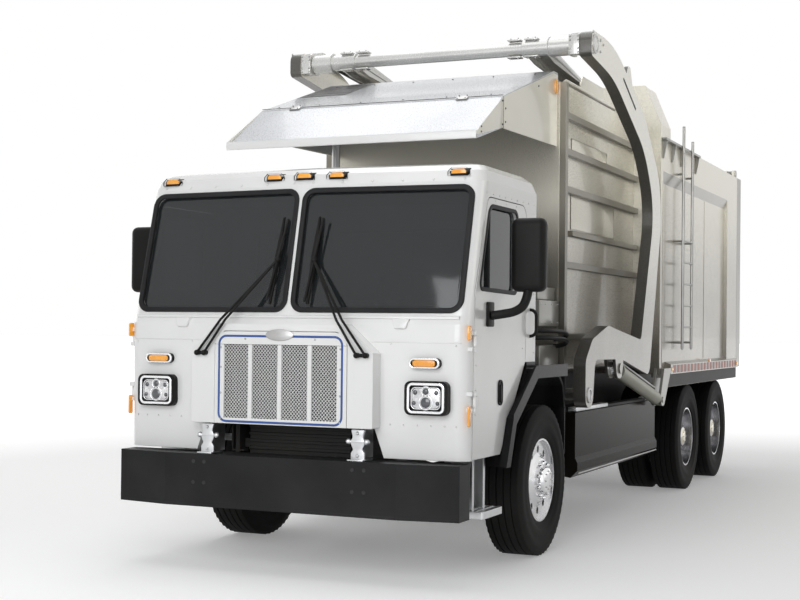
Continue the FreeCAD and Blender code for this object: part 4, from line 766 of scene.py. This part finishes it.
door = {
    "seal": [(3.364, 1.799), (3.364, 2.363), (3.908, 2.363), (4.082, 1.81)],
    "divider": (3.872, 3.893, 1.825, 2.325),
    "slot": (3.642, 3.724, 1.088, 1.252),
    "rivets": ((4.12, 1.05), (4.115, 1.2), (4.11, 1.35), (4.105, 1.7), (3.26, 1.45), (3.26, 1.75), (3.26, 2.05),
               (3.4, 2.385), (3.6, 2.385), (3.8, 2.385)),
    "grab": ((3.105, 0, 1.53), (3.105, 0.045, 1.535), (3.105, 0.045, 1.62), (3.105, 0.045, 1.705), (3.105, 0, 1.71)),
}
mirror = {
    "head": ((3.69, 1.325, 1.812), (3.8, 1.55, 2.278)),
    "arm": ((3.90, 1.245, 1.66), (3.885, 1.30, 1.668), (3.84, 1.385, 1.685), (3.77, 1.43, 1.74),
            (3.745, 1.438, 1.86)),
    "foot": ((3.84, 1.225, 1.59), (3.95, 1.243, 1.745)),
}


def doorSeal():
    ring = outlinePlate(door["seal"], 0.008, radius=0.07, width=0.027, edge=0.003, curve=7)
    bar = outlinePlate(rect(*door["divider"]), 0.02, edge=0.004)
    return gathered((outward(ring, halfWidth - 0.003), outward(bar, 1.202)))


def doorHandle():
    u0, u1, v0, v1 = door["slot"]
    parts = (
        outlinePlate(rect(u0, u1, v0, v1), 0.008, radius=0.035, width=0.012, edge=0.002),
        outlinePlate(rect(u0 + 0.006, u1 - 0.006, v0 + 0.006, v1 - 0.006), 0.003, radius=0.03),
        outlinePlate(rect(u0 + 0.03, u1 - 0.022, v0 + 0.02, v1 - 0.03), 0.014, radius=0.012, edge=0.004),
    )
    return outward(gathered(parts), halfWidth)


def mirrorHead():
    head = block(*mirror["head"], edge=0.045, segments=5)
    rear = [face for face in head.faces if face.normal.x < -0.9]
    bmesh.ops.inset_region(head, faces=rear, thickness=0.012, depth=0.0)
    grown(head, rear, (0.012, 0, 0))
    bmesh.ops.delete(head, geom=rear, context="FACES")
    return gathered((head, block(*mirror["foot"], edge=0.008)))


def mirrorPane():
    (x, y0, z0), (_, y1, z1) = mirror["head"]
    pane = outlinePlate(rect(y0 + 0.05, y1 - 0.05, z0 + 0.05, z1 - 0.05), 0.002, radius=0.01)
    return backward(pane, x + 0.009)


def sideStuds(places):
    return gathered([outward(stud(0.0065, 0.004), halfWidth, x, z) for x, z in places])


for side, name in sides:
    body = "door_" + name
    addPiece("doorSeal_" + name, flipped(doorSeal(), side), "rubberSeal", body)
    addPiece("doorHandle_" + name, flipped(doorHandle(), side), "blackPlastic", body)
    addPiece("mirrorHead_" + name, flipped(mirrorHead(), side), "blackPlastic", body, stands=("mirror_" + name,))
    addPiece("mirrorGlass_" + name, flipped(mirrorPane(), side), "mirrorGlass", body)
    addHose("mirrorArm_" + name, [(x, y * side, z) for x, y, z in mirror["arm"]], 0.029, "blackPlastic", body)
    addPiece("doorRivets_" + name, flipped(sideStuds(door["rivets"]), side), "cabPaint", body)
    grab = [(x, (halfWidth + y) * side, z) for x, y, z in door["grab"]]
    addHose("grabHandle_" + name, grab, 0.011, "blackPlastic")
places = [(3.044 + count * 0.1135, 2.425) for count in range(9)] + [(3.03, 1.42 + count * 0.1) for count in range(10)]
addPair("cabSideRivets", [sideStuds(places)], "cabPaint")
lenses = []
for x, z, wide, tall in ((4.222, 1.548, 0.024, 0.044), (4.222, 1.045, 0.018, 0.062)):
    lens = outlinePlate(aroundPoint(x, z, wide, tall), 0.012, radius=0.01, edge=0.004)
    lenses.append(outward(lens, halfWidth - 0.004))
addPair("cabSideLamps", lenses, "amberLens")
print("doors and mirrors")

# ---- wheels

tyre = {"radius": 0.525, "half": 0.1425, "rim": 0.29, "steps": 112, "groove": 0.011, "notch": 0.008}


def tyreMesh():
    r, half, rim = tyre["radius"], tyre["half"], tyre["rim"]
    tread = half - 0.018
    left = [
        (rim - 0.008, -half + 0.03), (rim + 0.012, -half + 0.012), (rim + 0.03, -half + 0.008),
        (rim + 0.06, -half + 0.001), (rim + 0.062, -half - 0.0005), (rim + 0.105, -half),
        (r - 0.085, -half + 0.001), (r - 0.08, -half - 0.0005), (r - 0.05, -half + 0.003),
        (r - 0.03, -half + 0.008), (r - 0.012, -tread - 0.004), (r - 0.002, -tread),
    ]
    for start, end in ((-tread, -0.082), (-0.074, -0.03)):
        sunk = r - tyre["groove"]
        left += [(r, start + 0.002), (r, end), (sunk, end + 0.002), (sunk, end + 0.006)]
    left.append((r, -0.02))
    bm = lathed(left + [(radius, -across) for radius, across in reversed(left)], tyre["steps"])
    for vert in bm.verts:
        flat = math.hypot(vert.co.x, vert.co.y)
        across = abs(vert.co.z)
        count = round(math.atan2(vert.co.y, vert.co.x) / math.tau * tyre["steps"]) % 2
        if count and flat >= r - 0.035 and across > 0.09:
            vert.co.xy *= (flat - tyre["notch"]) / flat
    return bm


def onCircle(makes, count, radius, height, shift=0.0):
    # the same small part round a circle
    turns = [math.tau * (step + shift) / count for step in range(count)]
    return gathered([shifted(makes(), radius * math.cos(turn), radius * math.sin(turn), height) for turn in turns])


def wheelNut():
    return lathed([(0.0, 0.034), (0.008, 0.033), (0.0125, 0.026), (0.014, 0.0)], 6)


def hubBolt():
    return stud(0.0075, 0.008, 6)


# each axle: its node, how far out its tyres stand, the nuts' face, the bolts' face, the cap and its finish
wheels = {
    "front": ("_tyre_", (1.085,), 0.121, 0.171,
              [(0.093, 0.12), (0.093, 0.158), (0.086, 0.167), (0.06, 0.172), (0.03, 0.174), (0.0, 0.174)], "chrome"),
}
for axle in ("middle", "rear"):
    cap = [(0.098, -0.026), (0.098, 0.06), (0.09, 0.068), (0.088, 0.09), (0.078, 0.098), (0.04, 0.102), (0, 0.102)]
    wheels[axle] = ("_tyres_", (1.07, 0.735), -0.026, 0.099, cap, "hubTan")
rubber = tyreMesh()
for axle, (word, lanes, nutFace, boltFace, cap, capFinish) in wheels.items():
    low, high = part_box(axle + word + "left")
    x = (low[0] + high[0]) / 2
    for side, name in sides:
        end = axle + "_" + name
        tyres = gathered([shifted(rubber.copy(), 0, 0, y - lanes[0]) for y in lanes])
        for title, bm, finish, stands in (
            ("tyres_", tyres, "tyreRubber", (axle + word + name,)),
            ("nuts_", onCircle(wheelNut, 10, 0.124, nutFace, 0.5), "chrome", ()),
            ("hubCap_", lathed(cap, 28), capFinish, ()),
            ("hubBolts_", onCircle(hubBolt, 8, 0.062, boltFace), "steel", ()),
        ):
            bm = flipped(outward(bm, lanes[0], x, tyre["radius"]), side)
            addPiece(title + end, bm, finish, "wheel_" + end, stands=stands)
rubber.free()
print("wheels")

# ---- bumper and tow plates

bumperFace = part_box("bumper")[1][0]
# painted shade: each bolt hole is a dark disc with a low rim
holes = []
for y in (0.53, 0.61):
    for z in (0.704, 0.569):
        ring = lathed([(0.0, 0.0008), (0.009, 0.0008), (0.0115, 0.0022), (0.0135, 0.0)], 16)
        holes.append(forward(ring, bumperFace - 0.0005, y, z))
addPair("bumperHoles", holes, "darkVoid")
edge = outlinePlate(rect(-0.82, 0.82, 0.414, 0.434), 0.004, edge=0.002)
addPiece("bumperLip", forward(edge, bumperFace - 0.003), "bumperPaint")


def rodAlong(y0, y1, radius, x, z, steps=32):
    return outward(lathed([(0, y0), (radius, y0), (radius, y1), (0, y1)], steps), 0, x, z)


tow = {
    "place": (4.325, 0.54),
    "outline": ((-0.047, 0.757), (0.047, 0.757), (0.047, 0.805), (0.03, 0.822), (0.043, 0.845), (0.05, 0.872),
                (0.034, 0.9), (0.047, 0.948), (-0.047, 0.948), (-0.034, 0.9), (-0.052, 0.872), (-0.043, 0.845),
                (-0.03, 0.822), (-0.047, 0.805)),
    "pin": (4.338, 0.872),
    "ends": (0.475, 0.60),
}


def towPlate():
    pinX, pinZ = tow["pin"]
    parts = [forward(outlinePlate(tow["outline"], 0.022, radius=0.01, edge=0.004), *tow["place"])]
    parts.append(block((4.24, 0.485, 0.753), (4.385, 0.595, 0.765), 0.003))
    parts.append(block((4.15, 0.525, 0.765), (4.33, 0.555, 0.94), 0.004))
    parts.append(rodAlong(*tow["ends"], 0.01, pinX, pinZ, 14))
    for y in tow["ends"]:
        ball = bmesh.new()
        bmesh.ops.create_uvsphere(ball, u_segments=16, v_segments=10, radius=0.019)
        parts.append(shifted(ball, pinX, y, pinZ))
    for z in (0.785, 0.925):
        parts.append(forward(stud(0.012, 0.009, 6), 4.347, 0.54, z))
    return parts


addPair("towPlates", towPlate(), "stepAlloy", stands=("tow_brackets",))
print("bumper")

# ---- refuse body

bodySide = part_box("packer_body")[1][1]
sill = {"face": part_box("sill_shelves")[1][1], "low": 1.186, "high": 1.258, "front": -0.93, "bar": 0.15, "count": 21}
for name, shift, wide in (("tapeRed", 0, 0.1), ("tapeWhite", 0.101, 0.048)):
    bars = []
    for count in range(sill["count"]):
        x = sill["front"] - count * sill["bar"] - shift
        bars.append(outward(outlinePlate(rect(x - wide, x, sill["low"], sill["high"]), 0.0012), sill["face"]))
    addPair(name, bars, name)
lenses = []
for x, z in ((-0.862, 1.222), (-2.55, 1.28), (-4.05, 1.222)):
    lens = outlinePlate(aroundPoint(x, z, 0.032, 0.018), 0.014, radius=0.012, edge=0.005)
    lenses.append(outward(lens, sill["face"] - 0.002))
addPair("sideLamps", lenses, "amberLens")

# flat strips and panels on the sides: name, finish, face, thickness, edge, width of a ring, where
for name, finish, face, thick, edge, width, places in (
    ("bodySeams", "bodyPaint", 1.209, 0.003, 0.0, 0.0, ((-2.532, -2.524, 1.3, 2.945),)),
    ("columnWelds", "bodyPaint", bodySide - 0.001, 0.004, 0.002, 0.0,
     ((-0.572, -0.56, 1.19, 2.94), (-3.589, -3.577, 1.19, 2.94))),
    ("hopperFrames", "supportPaint", 0.991, 0.003, 0.0, 0.007,
     ((0.2, 1.462, 2.372, 2.66), (0.44, 1.455, 2.965, 3.1))),
    ("hopperPanels", "bodyPaint", 0.9905, 0.004, 0.0015, 0.0,
     ((0.208, 1.454, 2.38, 2.652), (0.448, 1.447, 2.973, 3.092))),
    ("sillCover", "chassisBlack", 1.2435, 0.0025, 0.0, 0.0, ((-4.148, -0.834, 1.058, 1.176),)),
    # painted shade: a flat dark strip stands in for the shade under the rail above
    ("bodyBand", "ribPaint", 1.2095, 0.004, 0.0, 0.0, ((-3.57, -0.58, 2.962, 3.045),)),
):
    strips = [outward(outlinePlate(rect(*place), thick, width=width, edge=edge), face) for place in places]
    addPair(name, strips, finish)

# plain bars and boxes on both sides: name, finish, rounding, corners
for name, finish, edge, places in (
    # painted shade: the shelf wears the darker copy of the body's paint
    ("hopperShelf", "ribPaint", 0.004, (((-0.47, 0.985, 2.318), (1.51, 1.03, 2.362)),)),
    ("rearCovers", "supportPaint", 0.008,
     (((1.76, 0.55, 1.60), (2.23, 1.0, 1.80)), ((1.78, 0.58, 1.802), (2.19, 0.97, 1.90)),
      ((1.76, 0.6, 1.27), (2.22, 1.0, 1.46)))),
    ("skirtRails", "stepAlloy", 0.006,
     (((0.93, 1.09, 0.952), (1.8, 1.162, 0.984)), ((-0.66, 1.09, 0.95), (-0.32, 1.162, 0.98)))),
    ("skirtRailMiddle", "chassisBlack", 0.006, (((-0.31, 1.08, 0.948), (0.92, 1.158, 0.972)),)),
    ("skirtEdge", "steel", 0.003, (((-0.66, 1.168, 0.475), (1.78, 1.1785, 0.487)),)),
):
    addPair(name, [block(low, high, edge) for low, high in places], finish)
guard = [block((2.165, 0.95, 0.66), (2.185, 1.185, 1.24), 0.006), block((2.16, 0.96, 0.66), (2.19, 1.18, 0.7), 0.004)]
addPair("mudGuards", guard, "flarePlastic")

stiles = []
for x, top in ((-1.152, 3.53), (-1.538, 3.435)):
    stile = outlinePlate(rect(x - 0.017, x + 0.017, 1.4, top), 0.012, radius=0.012, edge=0.003)
    stiles.append(outward(stile, 1.2955))
addPiece("ladderStiles", gathered(stiles), "steel")

# behind the cab
covers = {
    "bolts": [(x, z) for z in (1.63, 1.77) for x in (1.8, 1.95, 2.1, 2.2)] + [(x, 1.3) for x in (1.8, 2.0, 2.18)],
    "hose": ((2.32, 0.90, 0.006), (2.28, 1.05, 0.005), (1.98, 1.1, 0.002), (1.84, 1.1, -0.025),
             (1.815, 1.05, -0.055), (1.83, 0.98, -0.06)),
    "heights": (1.565, 1.512),
}
addPair("rearCoverBolts", [outward(stud(0.008, 0.006), 1.0, x, z) for x, z in covers["bolts"]], "steel")
for side, name in sides:
    for count, height in enumerate(covers["heights"]):
        path = [(x, y * side, height + z) for x, y, z in covers["hose"]]
        addHose("coolantHose_%s_%d" % (name, count), path, 0.017, "hoseRubber")

# ---- tailgate: its wall set in, so that ribs, lamps and the plain plate keep within its length

gate = {
    "rear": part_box("tailgate")[0][0],
    "sunk": 0.03,
    "wall": 0.04,
    "ribs": [((-1.1, z - 0.035), (1.1, z + 0.035)) for z in (1.25, 1.85, 2.45, 3.05, 3.3)]
    + [((y - 0.04, 1.19), (y + 0.04, 3.36)) for y in (-1.15, 1.15)],
    "lamps": ((1.0, 1.36), (1.0, 1.52), (1.0, 1.68)),
    "lens": [(0.055, 0.0), (0.055, 0.008), (0.04, 0.016), (0.0, 0.02)],
    "ring": [(0.055, 0.0), (0.056, 0.014), (0.066, 0.014), (0.068, 0.0)],
    "plate": (-0.16, 0.16, 1.45, 1.58),
}
shell = bmesh.new()
shell.from_mesh(nodes["tailgate"].data)
for vert in shell.verts:
    if vert.co.x < gate["rear"] + gate["wall"]:
        vert.co.x += gate["sunk"]
addPiece("tailgateShell", shell, "supportPaint", "tailgate", stands=("tailgate",))
gateBack = gate["rear"] + gate["sunk"]
for name, key, finish in (("tailLamps", "lens", "redLens"), ("tailLampRings", "ring", "blackPlastic")):
    addPair(name, [backward(lathed(gate[key]), gateBack, y, z) for y, z in gate["lamps"]], finish, "tailgate")
ribs = [block((gate["rear"], *low), (gateBack + 0.002, *high), 0.008) for low, high in gate["ribs"]]
addPiece("tailgateRibs", gathered(ribs), "supportPaint", "tailgate")
plate = outlinePlate(rect(*gate["plate"]), 0.004, radius=0.012, edge=0.001)
addPiece("blankPlate", backward(plate, gateBack), "steel", "tailgate")
knobs = [rodAlong(1.19, 1.235, 0.042, -4.13, 3.4, 24), rodAlong(1.1, 1.13, 0.034, -4.13, 3.4, 24)]
addPair("hingeKnobs", knobs, "steel", "tailgate")
print("refuse body")

# ---- arms and lift cylinders

arms = {
    "outer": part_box("lift_arms")[1][1] - 0.012,
    "collars": ((1.841, 3.755, 0.075), (1.914, 1.086, 0.06)),
    "bolts": ((1.70, 3.72), (1.70, 3.81), (1.895, 3.84), (1.90, 3.68), (1.62, 3.79)),
    "slot": ((1.021, 3.63), (0.621, 3.435)),
    "slotFace": 1.291,
}
trim = []
for x, z, radius in arms["collars"]:
    collar = lathed([(radius, -0.001), (radius, 0.007), (radius - 0.006, 0.01), (radius - 0.02, 0.01),
                     (radius - 0.022, 0.003), (0, 0.003)], 32)
    trim.append(outward(collar, arms["outer"], x, z))
trim += [outward(stud(0.013, 0.009, 6), arms["outer"], x, z) for x, z in arms["bolts"]]
addPair("armTrim", trim, "steel", "arms")
# painted shade: the slot in the arm's face is a thin dark plate
start, end = (Vector(point) for point in arms["slot"])
run = (end - start).normalized()
off = Vector((-run.y, run.x)) * 0.011
slot = outlinePlate([tuple(p) for p in (start + off, start - off, end - off, end + off)], 0.0025, radius=0.009)
addPair("armSlots", [outward(slot, arms["slotFace"])], "darkVoid", "arms")

pipe = {"base": (-0.42, 0, 0.955), "ear": (1.05, 0, 1.27), "across": 1.2445, "from": 0.13, "to": 1.36, "foot": 0.055,
        "lift": 0.083}
base, ear = Vector(pipe["base"]), Vector(pipe["ear"])
ahead = (ear - base).normalized()
up = Vector((-ahead.z, 0, ahead.x))
for side, name in sides:
    middle = Vector((0, pipe["across"] * side, 0))
    start = base + ahead * pipe["from"] + middle
    end = base + ahead * pipe["to"] + middle
    foot, lift = up * pipe["foot"], up * pipe["lift"]
    course = [start + foot, start + lift, start + lift + ahead * 0.06]
    course += [end + lift - ahead * 0.05, end + lift, end + foot]
    addHose("liftPipe_" + name, course, 0.011, "steel", "lift_barrels")
print("arms")

# ---- cross tube, cranks and forks

forks = {
    "tip": (1.841, 3.755),
    "tube": (1.3, 0.052),
    "collars": ((0.72, 0.93, 0.064), (0.93, 0.938, 0.08), (0.938, 1.105, 0.073)),
    "crankY": 1.15,
    "crankPin": (1.6765, 3.85),
    "crank": ((-0.07, -0.078), (0.062, -0.088), (0.082, -0.06), (0.082, 0.055), (0.06, 0.08)),
    "crankEnd": ((0.03, 0.032), (-0.03, 0.03), (-0.036, -0.03)),
    "forkY": 0.81,
    "forkHalf": 0.085,
    "forkLength": 1.15,
    "forkTurn": -6,
}
tipX, tipZ = forks["tip"]
pinX, pinZ = forks["crankPin"]
crankY = forks["crankY"]


def crossTube():
    reach, radius = forks["tube"]
    parts = [rodAlong(-reach, reach, radius, tipX, tipZ)]
    parts += [twin(rodAlong(*collar, tipX, tipZ)) for collar in forks["collars"]]
    for y in (0.60, 0.74):
        for lift in (-1, 1):
            z = tipZ + lift * 0.066
            parts.append(twin(block((tipX - 0.02, y, z - 0.006), (tipX + 0.055, y + 0.11, z + 0.006), 0.003)))
    return gathered(parts)


def crankCheeks():
    outline = [(tipX + u, tipZ + v) for u, v in forks["crank"]] + [(pinX + u, pinZ + v) for u, v in forks["crankEnd"]]
    parts = [outward(outlinePlate(outline, 0.02, radius=0.018, edge=0.003), crankY + shift)
             for shift in (-0.042, 0.022)]
    low, high = (tipX + 0.075, crankY - 0.042, tipZ - 0.085), (tipX + 0.089, crankY + 0.042, tipZ + 0.07)
    return gathered(parts + [block(low, high, 0.003)])


def forkPlates():
    length, half = forks["forkLength"], forks["forkHalf"]
    side = [(0.03, -0.03), (0.03, 0.03), (-0.25, 0.052), (-length, 0.014), (-length, -0.014), (-0.25, -0.052)]
    parts = [outward(outlinePlate(side, 0.012, radius=0.01, edge=0.002), y) for y in (-half, half - 0.012)]
    parts.append(block((-length + 0.02, -half, -0.012), (-0.03, half, 0.0), 0.003))
    turn = Matrix.Rotation(math.radians(forks["forkTurn"]), 4, "Y")
    return moved(gathered(parts), Matrix.Translation((tipX, forks["forkY"], tipZ)) @ turn)


def flangeBolt(y, lift):
    bolt = stud(0.007, 0.012, 6)
    return mapped(bolt, lambda u, v, w: Vector((tipX + 0.035 + u, y + v, tipZ + lift * (0.072 + w))))


heads = [forward(stud(0.0085, 0.008, 6), tipX + 0.089, y, tipZ + height)
         for y in (1.118, 1.182) for height in (-0.07, -0.04, 0.025, 0.055)]
heads += [flangeBolt(y, lift) for y in (0.625, 0.685, 0.765, 0.825) for lift in (-1, 1)]
cap = lathed([(0, 0.012), (0.02, 0.012), (0.024, 0.006), (0.024, 0.0)], 20)
heads.append(outward(cap, crankY + 0.042, pinX, pinZ))
frameParts = (crossTube(), twin(crankCheeks()), twin(forkPlates()))
addPiece("forkFrame", gathered(frameParts), "tubePaint", "forks", stands=("fork_frame",))
addPair("forkFrameBolts", heads, "steel", "forks")
print("forks")

# ---- canopy

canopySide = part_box("canopy")[1][1]
canopy = {
    "cheek": [(1.735, 3.0), (2.95, 2.975), (2.95, 3.2), (1.835, 3.555), (1.735, 3.555)],
    "nose": [(2.958, 2.98), (3.46, 2.866), (3.462, 2.893), (2.958, 3.197)],
    "joint": (2.9515, 2.9565, 2.98, 3.2),
    "lip": (3.448, 3.4685, 2.842, 2.9),
    "slope": ((1.822, 3.574), (2.956, 3.208)),
    "flap": ((2.956, 3.208), (3.462, 2.897)),
    "hinges": (-0.68, 0.655),
    "screws": ((2.978, 3.165), (3.386, 2.93), (2.976, 3.0), (3.386, 2.895), (2.916, 3.025), (2.916, 3.12),
               (2.2, 3.395)),
    "mesh": (0.05, 0.61, -0.945, -0.545),
    "marker": (1.79, 3.46),
    "stay": (2.44, -0.6, 0.032, 3.36),
}


def sloped(bm, line):
    # u runs down the line in metres, v across, w off its face
    (x0, z0), (x1, z1) = line
    length = math.hypot(x1 - x0, z1 - z0)

    def where(u, v, w):
        x = x0 + (x1 - x0) * (u / length) + (z0 - z1) / length * w
        z = z0 + (z1 - z0) * (u / length) + (x1 - x0) / length * w
        return Vector((x, v, z))

    return mapped(bm, where)


def slopeStud(line, u, v, radius, height):
    return sloped(shifted(stud(radius, height, 6), u, v, 0), line)


cheeks = [outward(outlinePlate(canopy[key], 0.004, edge=0.0015), canopySide - 0.001) for key in ("cheek", "nose")]
addPair("canopyCheeks", cheeks, "cheekPaint")
joint = outlinePlate(rect(*canopy["joint"]), 0.0035)
addPair("canopyJoint", [outward(joint, canopySide - 0.0005)], "darkVoid")
x0, x1, z0, z1 = canopy["lip"]
addPiece("canopyLip", block((x0, -canopySide, z0), (x1, canopySide, z1), 0.004), "whiteStrip")
seam = outlinePlate(rect(-0.004, 0.004, -canopySide, canopySide), 0.002)
addPiece("canopySeam", sloped(seam, canopy["flap"]), "darkVoid")
hinges = [outlinePlate(aroundPoint(0, y, 0.034, 0.045), 0.004, radius=0.012, edge=0.001) for y in canopy["hinges"]]
addPiece("canopyHinges", gathered([sloped(hinge, canopy["flap"]) for hinge in hinges]), "steel")
screws = [slopeStud(canopy["flap"], u, y + v, 0.006, 0.009)
          for y in canopy["hinges"] for u in (-0.024, 0.024) for v in (-0.03, 0.03)]
screws += [slopeStud(canopy["slope"], u, -0.85 + count * 0.34, 0.0075, 0.005)
           for u in (0.13, 1.13) for count in range(6)]
screws += [twin(outward(stud(0.0085, 0.006, 6), canopySide + 0.002, x, z)) for x, z in canopy["screws"]]
addPiece("canopyScrews", gathered(screws), "chassisBlack")
u0, u1, v0, v1 = canopy["mesh"]
patch = bmesh.new()
bmesh.ops.create_grid(patch, x_segments=22, y_segments=16, size=0.5)
shifted(scaled(patch, u1 - u0, v1 - v0, 1), (u0 + u1) / 2, (v0 + v1) / 2, 0.001)
pierced(patch, 0.0045)
bmesh.ops.solidify(patch, geom=list(patch.faces), thickness=0.003)
addPiece("canopyMesh", sloped(patch, canopy["slope"]), "steel", smooth=False)
# painted shade: a dark sheet behind the canopy's mesh
addPiece("canopyMeshBack", sloped(outlinePlate(rect(u0, u1, v0, v1), 0.001), canopy["slope"]), "grilleBack")
x, z = canopy["marker"]
for side, name in sides:
    lens = scaled(lathed([(0, 0.016), (0.02, 0.014), (0.034, 0.007), (0.036, 0.0)], 28), 1, 1.7, 1)
    addPiece("canopyMarker_" + name, flipped(outward(lens, canopySide + 0.003, x, z), side), "amberLens")
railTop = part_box("frame_rails")[1][2]
x, y, radius, top = canopy["stay"]
post = shifted(lathed([(0, railTop + 0.01), (radius, railTop + 0.01), (radius, top), (0, top)], 20), x, y, 0)
foot = block((x - 0.06, y - 0.06, railTop - 0.002), (x + 0.06, y + 0.2, railTop + 0.02), 0.004)
addPiece("canopyStay", gathered((post, foot)), "steel")
print("canopy")
